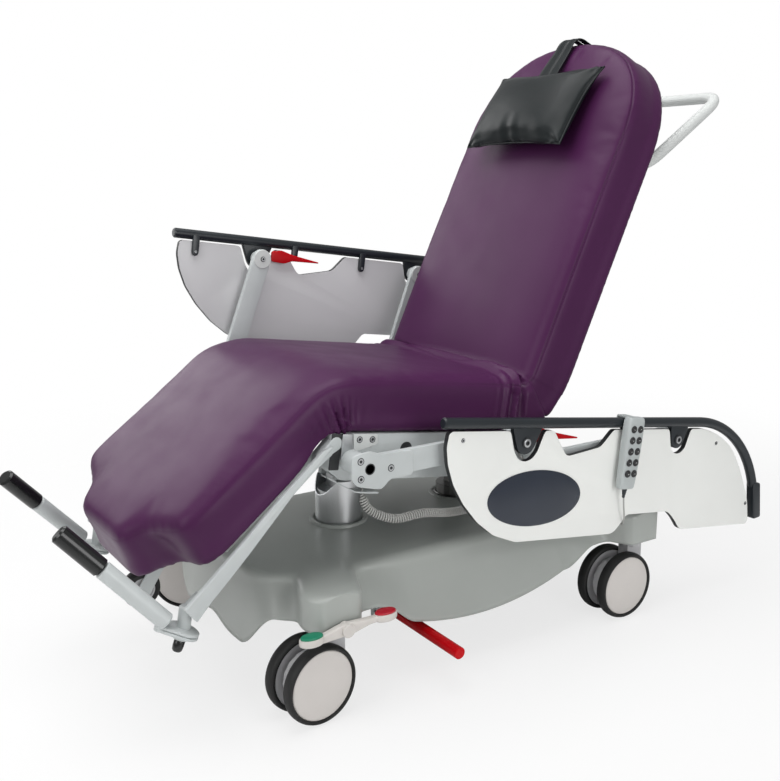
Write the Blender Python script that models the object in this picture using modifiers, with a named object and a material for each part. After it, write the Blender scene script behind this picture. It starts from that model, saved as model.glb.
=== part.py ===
"""A dialysis chair: a castor base with two lifting columns, a seat, back and leg rest that tilt, and
two drop-down armrests.

Metres, +Z up. +X is the patient's left, +Y runs towards the head, and the origin is on the floor in the
middle of the four castor wheels. The armrest on the left is down and the one on the right is up.
"""

import math

import bmesh
import bpy
import numpy as np
from mathutils import Matrix, Vector

# Clearances
GAP = 0.0003
PIN_PLAY = 0.0005

# Castors
WHEEL_RADIUS = 0.075
WHEEL_WIDTH = 0.030
WHEEL_INNER = 0.015
TRAIL = 0.047
STEM_X = 0.287
STEM_Y_FRONT = -0.345
STEM_Y_REAR = 0.440
STEM_RADIUS = 0.011
STEM_TOP = 0.204
FORK_HALF = WHEEL_INNER - 0.0008
FORK_DISC_RADIUS = 0.052
FORK_NECK = 0.044
FORK_HEAD_RADIUS = 0.024
FORK_HEAD_TOP = 0.1605
AXLE_RADIUS = 0.006
AXLE_END = 0.040
TYRE_ROUND = 0.008
CASTORS = {
    "front_left": (1, STEM_Y_FRONT, 6.0),
    "rear_left": (1, STEM_Y_REAR, 0.0),
    "front_right": (-1, STEM_Y_FRONT, -25.0),
    "rear_right": (-1, STEM_Y_REAR, 12.0),
}

# Base
BEAM_LOW = 0.172
BEAM_HIGH = 0.215
BEAM_WIDTH = 0.060
SOCKET_RADIUS = 0.032
SOCKET_LOW = 0.1635
SPINE_HALF = 0.075
COVER_TOP = 0.240
COVER_SEAT = 0.227
COVER_WALL = 0.004
COVER_HALF_WIDTH = 0.285
COVER_FRONT = -0.455
COVER_REAR = 0.530
COVER_SQUARE = 5.0
COVER_TOP_HALF = 0.205
COVER_TOP_FRONT = -0.410
COVER_TOP_REAR = 0.490
COVER_CROWN = 0.010
COVER_RIM_LOW = 0.095
COVER_RIM_SWEEP = 0.65
COVER_RIM_HIGH = 0.170
HOUSING_RADIUS = 0.055

# Lifting columns
COLUMN_Y = -0.156
COLUMN_RADIUS = 0.050
COLUMN_BORE = 0.046
COLUMN_LOW = 0.075
COLUMN_TOP = 0.334
REAR_COLUMN_TOP = 0.255
RAM_RADIUS = COLUMN_BORE - GAP
RAM_LOW = 0.078
PIN_RADIUS = 0.010

# Seat, in a frame whose origin is the tilt pin: y runs back along the seat, z is square to it
TILT_PIN_Z = 0.360
SEAT_TILT = math.radians(7.86)
REAR_PIN_Y = 0.319
MATTRESS_HALF = 0.270
SEAT_TOP = 0.240
DECK_TOP = 0.1343
DECK_THICK = 0.012
DECK_FRONT = -0.165
BEAM_OUT = MATTRESS_HALF - 0.008
BEAM_X = BEAM_OUT - 0.030
BEAM_BOTTOM = 0.045
BEAM_FRONT = -0.185
DECK_REAR = REAR_PIN_Y + 0.013

# Leg rest, hinged below the knee
KNEE = (-0.175, 0.115)
LEG_DROP = math.radians(46.2)
LEG_THICK = 0.097
LEG_LOW = 0.0116
FOOT_SHOULDER = -0.302
FOOT_TONGUE = -0.396
FOOT_LEAN = 0.016
LEG_BOARD_END = -0.299
TONGUE_HALF = 0.130
RAIL_X = BEAM_OUT + GAP
RAIL_THICK = 0.010
RAIL_END = -0.374
HINGE_PIN = 0.008

# Backrest, hinged at the fold of the mattress
FOLD = (0.3075, 0.1916)
BACK_RISE = math.radians(72.6)
BACK_FRONT = 0.0484
BACK_THICK = 0.100
BACK_TOP = 0.818
HEAD_ROUND = 0.250
FOLD_SET = 0.0356
HINGE_NARROW = MATTRESS_HALF - 0.025

# Armrests: a parallelogram of two arms carries a rail and a side panel
ARM_PIVOT = (-0.142, 0.084)
ARM_LENGTH = 0.343
ARM_WIDTH = 0.044
ARM_X = BEAM_OUT + 0.053
ARM_THICK = 0.012
ARM_BOSS = 0.021
ARM_SPACING = 0.444
BEAM_REAR = ARM_PIVOT[0] + ARM_SPACING + 0.030
ARM_DOWN = math.radians(8.0)
ARM_UP = math.radians(77.0)
PANEL_X = ARM_X + 0.030
PANEL_THICK = 0.012
RAIL_TUBE = 0.011
RAIL_HEIGHT = 0.038
PIVOT_STUD = 0.008
HUB_RADIUS = 0.0165
LEVER_PIN = (0.060, 0.006)
LEVER_PIN_RADIUS = 0.006

# Handset and its cord
HANDSET = (0.022, 0.048, 0.152)
HANDSET_Y = 0.276
HANDSET_LOW = -0.098
CORD_RADIUS = 0.0017
CURL_RADIUS = 0.0066
CURLS = 26
POINTS_PER_CURL = 8

# Foot handles, roller, pillow and push bar
HANDLE_RADIUS = 0.016
HANDLE_LENGTH = 0.228
GRIP_LENGTH = 0.095
FLANGE = (BEAM_OUT - 0.024, -0.414, -0.046)
FLANGE_RADIUS = 0.026
FLANGE_THICK = 0.006
HANDLE_FOOT = (0.046, -0.018)
FLANGE_AXIS = Vector((0.0, -0.867, -0.5)).normalized()
HANDLE_AXIS = Vector((-0.24, -0.05, 0.97)).normalized()
ROLLER_RADIUS = 0.037
ROLLER_HALF = 0.014
ROLLER_AT = (-0.412, -0.060)
PILLOW = (0.315, 0.200, 0.066)
PILLOW_Y = 0.628
PILLOW_SET = 0.0461
PILLOW_LEAN = 0.018
PUSH_BAR_RADIUS = 0.0125
PUSH_BAR_X = MATTRESS_HALF - 0.055
PUSH_BAR_ROOT = 0.575

# Foot pedals
PEDAL_PIVOT = (STEM_Y_FRONT, 0.178)
PEDAL_X = 0.334
PEDAL_WIDTH = 0.016
LEVER_FOOT_RADIUS = 0.011
LEVER_FOOT_Y = -0.122
LEVER_FOOT_PIVOT = (0.142, 0.088)
LEVER_FOOT_END = 0.385


def clear_scene():
    """Empties the scene and makes the two collections."""
    for old in list(bpy.data.objects):
        bpy.data.objects.remove(old, do_unlink=True)
    made = []
    for name in ("dialysis_chair", "cutters"):
        collection = bpy.data.collections.new(name)
        bpy.context.scene.collection.children.link(collection)
        made.append(collection)
    made[1].hide_render = True
    return made


PARTS, CUTTERS = clear_scene()


def material(name, colour, roughness, metallic=0.0):
    made = bpy.data.materials.new(name)
    made.use_nodes = True
    shader = made.node_tree.nodes["Principled BSDF"]
    shader.inputs["Base Color"].default_value = (*colour, 1.0)
    shader.inputs["Roughness"].default_value = roughness
    shader.inputs["Metallic"].default_value = metallic
    return made


VINYL = material("purple_vinyl", (0.155, 0.070, 0.150), 0.42)
PILLOW_SKIN = material("dark_leatherette", (0.020, 0.026, 0.027), 0.45)
PAINT = material("grey_paint", (0.50, 0.53, 0.53), 0.40)
MOULDING = material("grey_moulding", (0.36, 0.39, 0.38), 0.45)
LAMINATE = material("white_laminate", (0.80, 0.81, 0.77), 0.35)
BLACK = material("black_plastic", (0.015, 0.018, 0.020), 0.40)
RUBBER = material("tyre_rubber", (0.030, 0.030, 0.030), 0.70)
STEEL = material("brushed_steel", (0.55, 0.56, 0.57), 0.30, 1.0)
PALE = material("pale_plastic", (0.62, 0.59, 0.56), 0.45)
RED = material("red_plastic", (0.62, 0.010, 0.020), 0.35)
GREEN = material("green_plastic", (0.0, 0.22, 0.10), 0.40)
LEAD_GREY = material("grey_cord", (0.42, 0.42, 0.40), 0.55)


def axis(name, parent, place, turn=0.0, about="X"):
    """An empty on a joint's axis, which its pieces hang from."""
    empty = bpy.data.objects.new(name, None)
    PARTS.objects.link(empty)
    empty.empty_display_size = 0.03
    empty.parent = parent
    empty.location = place
    empty.rotation_euler["XYZ".index(about)] = turn
    bpy.context.view_layer.update()
    return empty


def piece(name, mesh, look, parent=None):
    made = bpy.data.objects.new(name, mesh)
    PARTS.objects.link(made)
    made.parent = parent
    mesh.materials.clear()
    mesh.materials.append(look)
    mesh.shade_smooth()
    mesh.set_sharp_from_angle(angle=math.radians(35))
    return made


def helper(target, mesh):
    """A hidden object in the target's own frame, for a Boolean."""
    made = bpy.data.objects.new(target.name + ".tool", mesh)
    CUTTERS.objects.link(made)
    made.parent = target.parent
    made.location = target.location
    made.hide_render = True
    made.display_type = "WIRE"
    return made


def combine(target, mesh, operation):
    modifier = target.modifiers.new(operation.lower(), "BOOLEAN")
    modifier.operation = operation
    modifier.solver = "EXACT"
    modifier.object = helper(target, mesh)


def join(target, *meshes):
    for mesh in meshes:
        combine(target, mesh, "UNION")


def cut(target, *meshes):
    for mesh in meshes:
        combine(target, mesh, "DIFFERENCE")


def finished(shape, name="shape"):
    mesh = bpy.data.meshes.new(name)
    bmesh.ops.recalc_face_normals(shape, faces=shape.faces)
    shape.to_mesh(mesh)
    shape.free()
    return mesh


def block(low, high):
    """A box between two corners."""
    shape = bmesh.new()
    bmesh.ops.create_cube(shape, size=1.0)
    low, high = Vector(low), Vector(high)
    for vert in shape.verts:
        vert.co = low + Vector((v + 0.5) * s for v, s in zip(vert.co, high - low))
    return finished(shape)


def rod(start, end, radius, sides=12, end_radius=None):
    """A cylinder, or a cone, from one point to another."""
    start, end = Vector(start), Vector(end)
    along = end - start
    shape = bmesh.new()
    turn = along.to_track_quat("Z", "Y").to_matrix().to_4x4()
    bmesh.ops.create_cone(
        shape,
        cap_ends=True,
        segments=sides,
        radius1=radius,
        radius2=radius if end_radius is None else end_radius,
        depth=along.length,
        matrix=Matrix.Translation((start + end) / 2) @ turn,
    )
    return finished(shape)


def curve_mesh(curve):
    """The mesh that a curve makes, with its caps welded on."""
    holder = bpy.data.objects.new("curve", curve)
    PARTS.objects.link(holder)
    graph = bpy.context.evaluated_depsgraph_get()
    graph.update()
    mesh = bpy.data.meshes.new_from_object(holder.evaluated_get(graph))
    bpy.data.objects.remove(holder, do_unlink=True)
    bpy.data.curves.remove(curve)
    shape = bmesh.new()
    shape.from_mesh(mesh)
    bmesh.ops.remove_doubles(shape, verts=shape.verts, dist=1e-5)
    bpy.data.meshes.remove(mesh)
    return finished(shape)


def tube(points, radius, resolution=3):
    """A round bar through points."""
    curve = bpy.data.curves.new("tube", "CURVE")
    curve.dimensions = "3D"
    curve.bevel_depth = radius
    curve.bevel_resolution = resolution
    curve.use_fill_caps = True
    spline = curve.splines.new("POLY")
    spline.points.add(len(points) - 1)
    for point, place in zip(spline.points, points):
        point.co = (*place, 1.0)
    return curve_mesh(curve)


def plate(outline, low, high):
    """A flat outline in the y, z plane, from x = low to x = high."""
    curve = bpy.data.curves.new("plate", "CURVE")
    curve.dimensions = "2D"
    curve.fill_mode = "BOTH"
    curve.extrude = (high - low) / 2
    spline = curve.splines.new("POLY")
    spline.points.add(len(outline) - 1)
    for point, (y, z) in zip(spline.points, outline):
        point.co = (y, z, 0.0, 1.0)
    spline.use_cyclic_u = True
    mesh = curve_mesh(curve)
    for vert in mesh.vertices:
        y, z, x = vert.co
        vert.co = (x + (low + high) / 2, y, z)
    return mesh


def lathe(name, profile, look, parent, steps=16):
    """A profile of (radius, x) points turned about the x axis, a ring where it stays off the axis."""
    mesh = bpy.data.meshes.new(name)
    edges = [(i, i + 1) for i in range(len(profile) - 1)]
    if profile[0][0] > 0:
        edges.append((len(profile) - 1, 0))
    mesh.from_pydata([(x, 0.0, radius) for radius, x in profile], edges, [])
    made = piece(name, mesh, look, parent)
    screw = made.modifiers.new("turn", "SCREW")
    screw.axis = "X"
    screw.steps = steps
    screw.render_steps = steps
    screw.use_merge_vertices = True
    screw.merge_threshold = 0.00005
    return made


def arc(centre, radius, start, end, count):
    """Points of an arc, in degrees."""
    angles = np.radians(np.linspace(start, end, count))
    return [(centre[0] + radius * math.cos(a), centre[1] + radius * math.sin(a)) for a in angles]


def smooth_path(points, count):
    """Points spaced evenly on a Catmull-Rom curve through the given ones."""
    knots = np.array([2 * np.array(points[0]) - points[1], *points, 2 * np.array(points[-1]) - points[-2]])
    fine = []
    for i in range(1, len(knots) - 2):
        t = np.linspace(0, 1, 40, endpoint=False)[:, None]
        a, b, c, d = knots[i - 1 : i + 3]
        fine.append(
            0.5 * (2 * b + (c - a) * t + (2 * a - 5 * b + 4 * c - d) * t**2 + (3 * b - a - 3 * c + d) * t**3)
        )
    fine = np.vstack([*fine, knots[-2][None]])
    reach = np.concatenate([[0], np.cumsum(np.linalg.norm(np.diff(fine, axis=0), axis=1))])
    at = np.linspace(0, reach[-1], count)
    return np.stack([np.interp(at, reach, fine[:, k]) for k in range(3)], axis=1)


def cushion(name, rows, look, parent, across=4, crown=0.010, tuck=0.008, firm=0.5):
    """A padded block from rows of (y_low, y_high, half_width, z_low, z_high), foot to head.

    A row gives the cushion's section there: y_low on its underside, y_high on its top. The top swells by
    crown in the middle, and the sides draw in by tuck half way up. The cage is rounded by subdivision, and
    firm keeps the top's edge from rounding off, from 0 for soft to 1 for sharp.
    """
    verts = []
    last = len(rows) - 1
    for r, (y_low, y_high, half, z_low, z_high) in enumerate(rows):
        ring = []
        for i in range(across + 1):
            s = 2 * i / across - 1
            swell = crown * (1 - s * s) * math.sin(math.pi * (r + 0.6) / (last + 1.2))
            ring.append((s * half, y_high, z_high + swell))
        y_mid, z_mid = (y_low + y_high) / 2, (z_low + z_high) / 2
        ring.append((half - tuck, y_mid, z_mid))
        for i in range(across, -1, -1):
            ring.append(((2 * i / across - 1) * half, y_low, z_low))
        ring.append((tuck - half, y_mid, z_mid))
        verts.append(ring)
    shape = bmesh.new()
    rings = [[shape.verts.new(p) for p in ring] for ring in verts]
    count = len(rings[0])
    for first, second in zip(rings, rings[1:]):
        for i in range(count):
            j = (i + 1) % count
            shape.faces.new((first[i], first[j], second[j], second[i]))
    for ring in (rings[0], rings[-1]):
        top, low = ring[: across + 1], ring[across + 2 : 2 * across + 3][::-1]
        mids = (ring[-1], ring[across + 1])
        middle = [mids[0]]
        for i in range(1, across):
            middle.append(shape.verts.new((top[i].co + low[i].co) / 2))
        middle.append(mids[1])
        for upper, lower in ((top, middle), (middle, low)):
            for i in range(across):
                shape.faces.new((upper[i], upper[i + 1], lower[i + 1], lower[i]))
    crease = shape.edges.layers.float.new("crease_edge")
    for ring in (rings[0], rings[-1]):
        for i in range(across):
            shape.edges.get((ring[i], ring[i + 1]))[crease] = firm
    for first, second in zip(rings, rings[1:]):
        for i in (0, across):
            shape.edges.get((first[i], second[i]))[crease] = firm
    made = piece(name, finished(shape), look, parent)
    soft = made.modifiers.new("soft", "SUBSURF")
    soft.levels = 1
    soft.render_levels = 1
    return made


def build_chassis():
    """The welded frame under the cover: a spine, two cross beams and four castor sockets."""
    spine = block((-SPINE_HALF, STEM_Y_FRONT, BEAM_LOW), (SPINE_HALF, STEM_Y_REAR, BEAM_HIGH))
    chassis = piece("base_chassis", spine, PAINT)
    for y in (STEM_Y_FRONT, STEM_Y_REAR):
        reach = STEM_X + SOCKET_RADIUS - 0.008
        join(
            chassis,
            block((-reach, y - BEAM_WIDTH / 2, BEAM_LOW), (reach, y + BEAM_WIDTH / 2, BEAM_HIGH)),
        )
        for x in (-STEM_X, STEM_X):
            join(chassis, rod((x, y, SOCKET_LOW), (x, y, COVER_SEAT - GAP), SOCKET_RADIUS))
            cut(chassis, rod((x, y, SOCKET_LOW - 0.01), (x, y, STEM_TOP + 0.002), STEM_RADIUS + PIN_PLAY, 12))
    pivot_y, pivot_z = PEDAL_PIVOT
    pin_start = STEM_X + SOCKET_RADIUS - 0.006
    join(chassis, rod((pin_start, pivot_y, pivot_z), (PEDAL_X + 0.012, pivot_y, pivot_z), 0.006, 12))
    pivot_x, pivot_z = LEVER_FOOT_PIVOT
    join(
        chassis,
        block(
            (SPINE_HALF - 0.01, LEVER_FOOT_Y - 0.036, BEAM_LOW),
            (pivot_x + 0.016, LEVER_FOOT_Y + 0.036, BEAM_HIGH - 0.010),
        ),
    )
    for side in (-1, 1):
        near, far = sorted((LEVER_FOOT_Y + side * 0.024, LEVER_FOOT_Y + side * 0.034))
        join(
            chassis,
            block((pivot_x - 0.016, near, pivot_z - 0.016), (pivot_x + 0.016, far, BEAM_LOW + 0.01)),
        )
    cut(
        chassis,
        rod(
            (pivot_x, LEVER_FOOT_Y - 0.05, pivot_z),
            (pivot_x, LEVER_FOOT_Y + 0.05, pivot_z),
            0.005 + PIN_PLAY,
            16,
        ),
    )
    for y in (COLUMN_Y, rear_column_y()):
        cut(chassis, rod((0, y, 0.1), (0, y, 0.3), COLUMN_RADIUS + GAP, 20))


def rear_column_y():
    return COLUMN_Y + REAR_PIN_Y * math.cos(SEAT_TILT)


def rear_pin_z():
    return TILT_PIN_Z - REAR_PIN_Y * math.sin(SEAT_TILT)


def rim_height(x, y):
    """The cover's lower edge: a shallow curve along the sides, lifted clear of the castors."""
    away = min(math.hypot(abs(x) - STEM_X, y - stem) for stem in (STEM_Y_FRONT, STEM_Y_REAR))
    lift = min(max((0.165 - away) / 0.075, 0.0), 1.0)
    low = COVER_RIM_LOW
    if y > STEM_Y_FRONT:
        low += COVER_RIM_SWEEP * min(abs(y - 0.060), 0.22) ** 2
    return low + (COVER_RIM_HIGH - low) * lift * lift * (3 - 2 * lift)


def cover_ring(lean, climb):
    """One level of the hood: its outline goes from rim to top by lean, its height by climb."""
    half_x = COVER_HALF_WIDTH + lean * (COVER_TOP_HALF - COVER_HALF_WIDTH)
    front = COVER_FRONT + lean * (COVER_TOP_FRONT - COVER_FRONT)
    rear = COVER_REAR + lean * (COVER_TOP_REAR - COVER_REAR)
    middle, half_y = (front + rear) / 2, (rear - front) / 2
    steps = 34
    ring = []
    for i in range(steps):
        turn = 2 * math.pi * i / steps
        c, s = math.cos(turn), math.sin(turn)
        spread = (abs(c) ** COVER_SQUARE + abs(s) ** COVER_SQUARE) ** (-1 / COVER_SQUARE)
        rim_y = (COVER_FRONT + COVER_REAR) / 2 + (COVER_REAR - COVER_FRONT) / 2 * spread * s
        rim = rim_height(COVER_HALF_WIDTH * spread * c, rim_y)
        height = rim + (COVER_TOP - rim) * climb
        ring.append((half_x * spread * c, middle + half_y * spread * s, height))
    return ring


def build_cover():
    """The moulded hood over the base, a shell open below, with a bar over each pair of castors."""
    shape = bmesh.new()
    levels = ((0.0, 0.0), (0.26, 0.35), (0.54, 0.66), (0.78, 0.90), (1.0, 1.0))
    rings = [cover_ring(lean, climb) for lean, climb in levels]
    top = rings[-1]
    centre_y = (COVER_TOP_FRONT + COVER_TOP_REAR) / 2
    for share, rise in ((0.66, 0.7), (0.36, 1.0)):
        height = COVER_TOP + COVER_CROWN * rise
        rings.append([(x * share, centre_y + (y - centre_y) * share, height) for x, y, z in top])
    steps = len(top)
    rings = [[shape.verts.new(p) for p in ring] for ring in rings]
    for lower, upper in zip(rings, rings[1:]):
        for i in range(steps):
            j = (i + 1) % steps
            shape.faces.new((lower[i], lower[j], upper[j], upper[i]))
    shape.faces.new(rings[-1])
    cover = piece("base_cover", finished(shape), MOULDING)
    shell = cover.modifiers.new("wall", "SOLIDIFY")
    shell.thickness = COVER_WALL
    shell.offset = -1.0
    for y in (STEM_Y_FRONT, STEM_Y_REAR):
        join(cover, castor_bar(y, COVER_RIM_HIGH, COVER_TOP + 0.004, HOUSING_RADIUS, 0.28))
    for y in (STEM_Y_FRONT, STEM_Y_REAR):
        cut(cover, castor_bar(y, COVER_RIM_HIGH - 0.05, COVER_SEAT, HOUSING_RADIUS - COVER_WALL, 0.0))
    spine = SPINE_HALF + 0.003
    cut(cover, block((-spine, STEM_Y_FRONT, 0.1), (spine, STEM_Y_REAR, BEAM_HIGH + 0.003)))
    for y in (COLUMN_Y, rear_column_y()):
        cut(cover, rod((0, y, 0.2), (0, y, 0.3), COLUMN_RADIUS + 0.002, 20))
    pedal_y, pedal_z = PEDAL_PIVOT
    cut(cover, block((0.312, pedal_y - 0.03, 0.1), (0.40, pedal_y + 0.03, pedal_z + 0.020)))


def castor_bar(y, low, high, radius, dome):
    """A bar across the hood with a round end over each castor, its top edge drawn in by the dome's share."""
    shape = bmesh.new()
    ends = [(STEM_X, turn) for turn in range(-90, 91, 22)] + [(-STEM_X, turn) for turn in range(90, 271, 22)]
    rings = []
    for share, z in ((1.0, low), (1.0, high - 0.012), (1.0 - 0.36 * dome, high - 0.003), (1.0 - dome, high)):
        reach = radius * share
        ring = []
        for x, turn in ends:
            angle = math.radians(turn)
            ring.append(shape.verts.new((x + reach * math.cos(angle), y + reach * math.sin(angle), z)))
        rings.append(ring)
    steps = len(ends)
    for lower, upper in zip(rings, rings[1:]):
        for i in range(steps):
            j = (i + 1) % steps
            shape.faces.new((lower[i], lower[j], upper[j], upper[i]))
    shape.faces.new(rings[0])
    shape.faces.new(rings[-1])
    return finished(shape)


def build_castor(name, side, stem_y, swivel):
    """A twin-wheel castor: a fork with its stem, and a wheel on each side of it."""
    stem = axis("axis_swivel_" + name, None, (side * STEM_X, stem_y, 0.0), math.radians(swivel), "Z")
    hub = (0.0, -TRAIL, WHEEL_RADIUS)
    disc = rod((-FORK_HALF, *hub[1:]), (FORK_HALF, *hub[1:]), FORK_DISC_RADIUS, 16)
    fork = piece("castor_" + name + "_fork", disc, PAINT, stem)
    half = FORK_NECK / 2
    join(
        fork,
        block((-FORK_HALF, -half, WHEEL_RADIUS - 0.02), (FORK_HALF, half, FORK_HEAD_TOP - 0.004)),
        rod((0, 0, 0.1525), (0, 0, FORK_HEAD_TOP), FORK_HEAD_RADIUS),
        rod((0, 0, FORK_HEAD_TOP - 0.004), (0, 0, STEM_TOP), STEM_RADIUS - PIN_PLAY, 12),
        rod((-AXLE_END, *hub[1:]), (AXLE_END, *hub[1:]), AXLE_RADIUS, 12),
    )
    spin = axis("axis_spin_" + name, stem, hub)
    outer = WHEEL_INNER + WHEEL_WIDTH
    for wheel, way in (("left", 1), ("right", -1)):
        profile = [
            (0.0, AXLE_END + PIN_PLAY),
            (AXLE_RADIUS + PIN_PLAY, AXLE_END + PIN_PLAY),
            (AXLE_RADIUS + PIN_PLAY, WHEEL_INNER),
            (WHEEL_RADIUS, WHEEL_INNER),
            (WHEEL_RADIUS, outer - TYRE_ROUND),
            (WHEEL_RADIUS - TYRE_ROUND, outer),
            (0.0, outer),
        ]
        turned = [(radius, way * x) for radius, x in profile[::-way]]
        lathe("castor_" + name + "_wheel_" + wheel, turned, RUBBER, spin)


def build_columns():
    """Two column tubes in the base, and the rams that rise out of them to carry the seat."""
    spots = (
        ("front", COLUMN_Y, COLUMN_TOP, TILT_PIN_Z),
        ("rear", rear_column_y(), REAR_COLUMN_TOP, rear_pin_z()),
    )
    for name, y, top, pin_z in spots:
        outside = rod((0, y, COLUMN_LOW), (0, y, top), COLUMN_RADIUS, 20)
        column = piece(name + "_column", outside, STEEL)
        cut(column, rod((0, y, COLUMN_LOW - 0.01), (0, y, top + 0.01), COLUMN_BORE, 20))
        if name == "front":
            slant = block((-0.08, -0.12, 0.0), (0.08, 0.12, 0.12))
            turn = Matrix.Translation((0, y - 0.030, top - 0.028)) @ Matrix.Rotation(math.radians(40), 4, "X")
            slant.transform(turn)
            cut(column, slant)
        lift = axis("axis_lift_" + name, None, (0.0, y, pin_z))
        shaft_top = -0.040
        shaft = rod((0, 0, RAM_LOW - pin_z), (0, 0, shaft_top), RAM_RADIUS, 20)
        ram = piece(name + "_ram", shaft, STEEL, lift)
        join(
            ram,
            block((-0.0215, -0.018, shaft_top - 0.01), (0.0215, 0.018, 0.016)),
            rod((-0.044, 0, 0), (0.044, 0, 0), PIN_RADIUS, 12),
        )


def build_seat(seat):
    """The deck that the seat cushion lies on, its two side beams and the boxes hung below it."""
    deck = plate(
        [
            (DECK_FRONT, DECK_TOP - DECK_THICK),
            (-0.025, DECK_TOP - DECK_THICK),
            (-0.025, 0.080),
            (0.025, 0.080),
            (0.025, DECK_TOP - DECK_THICK),
            (0.240, DECK_TOP - DECK_THICK),
            (0.240, 0.085),
            (DECK_REAR, 0.085),
            (DECK_REAR, 0.110),
            (0.262, 0.110),
            (0.262, DECK_TOP),
            (DECK_FRONT, DECK_TOP),
        ],
        -BEAM_X + GAP,
        BEAM_X - GAP,
    )
    deck = piece("seat_deck", deck, PAINT, seat)
    for y in (0.0, REAR_PIN_Y):
        for side in (-1, 1):
            low, high = sorted((side * 0.024, side * 0.036))
            join(deck, block((low, y - 0.026, -0.017), (high, y + 0.026, 0.095)))
    cut(
        deck,
        rod((-0.06, 0, 0), (0.06, 0, 0), PIN_RADIUS + PIN_PLAY, 12),
        block(
            (-0.06, REAR_PIN_Y - PIN_RADIUS - 0.006, -PIN_RADIUS - PIN_PLAY),
            (0.06, REAR_PIN_Y + PIN_RADIUS + 0.006, PIN_RADIUS + PIN_PLAY),
        ),
    )
    for name, side in (("left", 1), ("right", -1)):
        low, high = sorted((side * BEAM_X, side * BEAM_OUT))
        outline = [
            (BEAM_FRONT, BEAM_BOTTOM + 0.02),
            (BEAM_FRONT + 0.03, BEAM_BOTTOM),
            (BEAM_REAR - 0.03, BEAM_BOTTOM),
            (BEAM_REAR, BEAM_BOTTOM + 0.02),
            (BEAM_REAR, DECK_TOP),
            (BEAM_FRONT, DECK_TOP),
        ]
        beam = piece("seat_beam_" + name, plate(outline, low, high), PAINT, seat)
        ear_low, ear_high = sorted((side * (BEAM_OUT - 0.012), side * BEAM_OUT))
        ear = [(0.272, 0.120), (BEAM_REAR - 0.001, 0.120), *arc(FOLD, 0.019, -10, 190, 9)]
        join(beam, plate(ear, ear_low, ear_high))
        for y, z in (FOLD, KNEE):
            start, end = (side * (BEAM_X + 0.003), y, z), (side * (BEAM_OUT + 0.038), y, z)
            cut(beam, rod(start, end, HINGE_PIN + PIN_PLAY, 12))
        for y in (ARM_PIVOT[0], ARM_PIVOT[0] + ARM_SPACING):
            z = ARM_PIVOT[1]
            start, end = (side * (BEAM_X + 0.008), y, z), (side * (BEAM_OUT + 0.038), y, z)
            cut(beam, rod(start, end, 0.0105, 12))
    underside = DECK_TOP - DECK_THICK - GAP
    box = piece("control_box", block((-0.085, 0.075, 0.060), (0.055, 0.215, underside)), BLACK, seat)
    soften(box, 0.006)
    body = piece("back_actuator", block((0.095, 0.032, 0.056), (0.155, 0.230, underside)), BLACK, seat)
    join(body, rod((0.125, -0.020, 0.066), (0.125, 0.034, 0.066), 0.009, 12))
    actuator = piece("leg_actuator", block((-0.165, 0.070, 0.030), (-0.105, 0.236, 0.077)), BLACK, seat)
    join(
        actuator,
        rod((-0.135, -0.040, 0.052), (-0.135, 0.072, 0.052), 0.017, 12),
        block((-0.150, 0.190, 0.060), (-0.120, 0.230, underside)),
    )
    cut(actuator, rod((-0.135, -0.05, 0.052), (-0.135, 0.20, 0.052), 0.0110, 12))
    slide = axis("axis_leg_rod", seat, (-0.135, 0.0, 0.052))
    thrust = piece("leg_actuator_rod", rod((0, -0.125, 0), (0, 0.16, 0), 0.0100, 12), STEEL, slide)
    join(thrust, block((-0.008, -0.160, -0.014), (0.008, -0.120, 0.014)))


def soften(target, width, segments=1):
    """Rounded edges."""
    bevel = target.modifiers.new("edges", "BEVEL")
    bevel.width = width
    bevel.segments = segments
    bevel.limit_method = "ANGLE"


def head_half(y, top, widest):
    """Half the width of the rounded head end at a height on the back."""
    along = max(0.0, (y - (top - HEAD_ROUND)) / HEAD_ROUND)
    return widest * max(0.0, 1 - min(along, 1.0) ** 2.3) ** (1 / 2.3)


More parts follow.
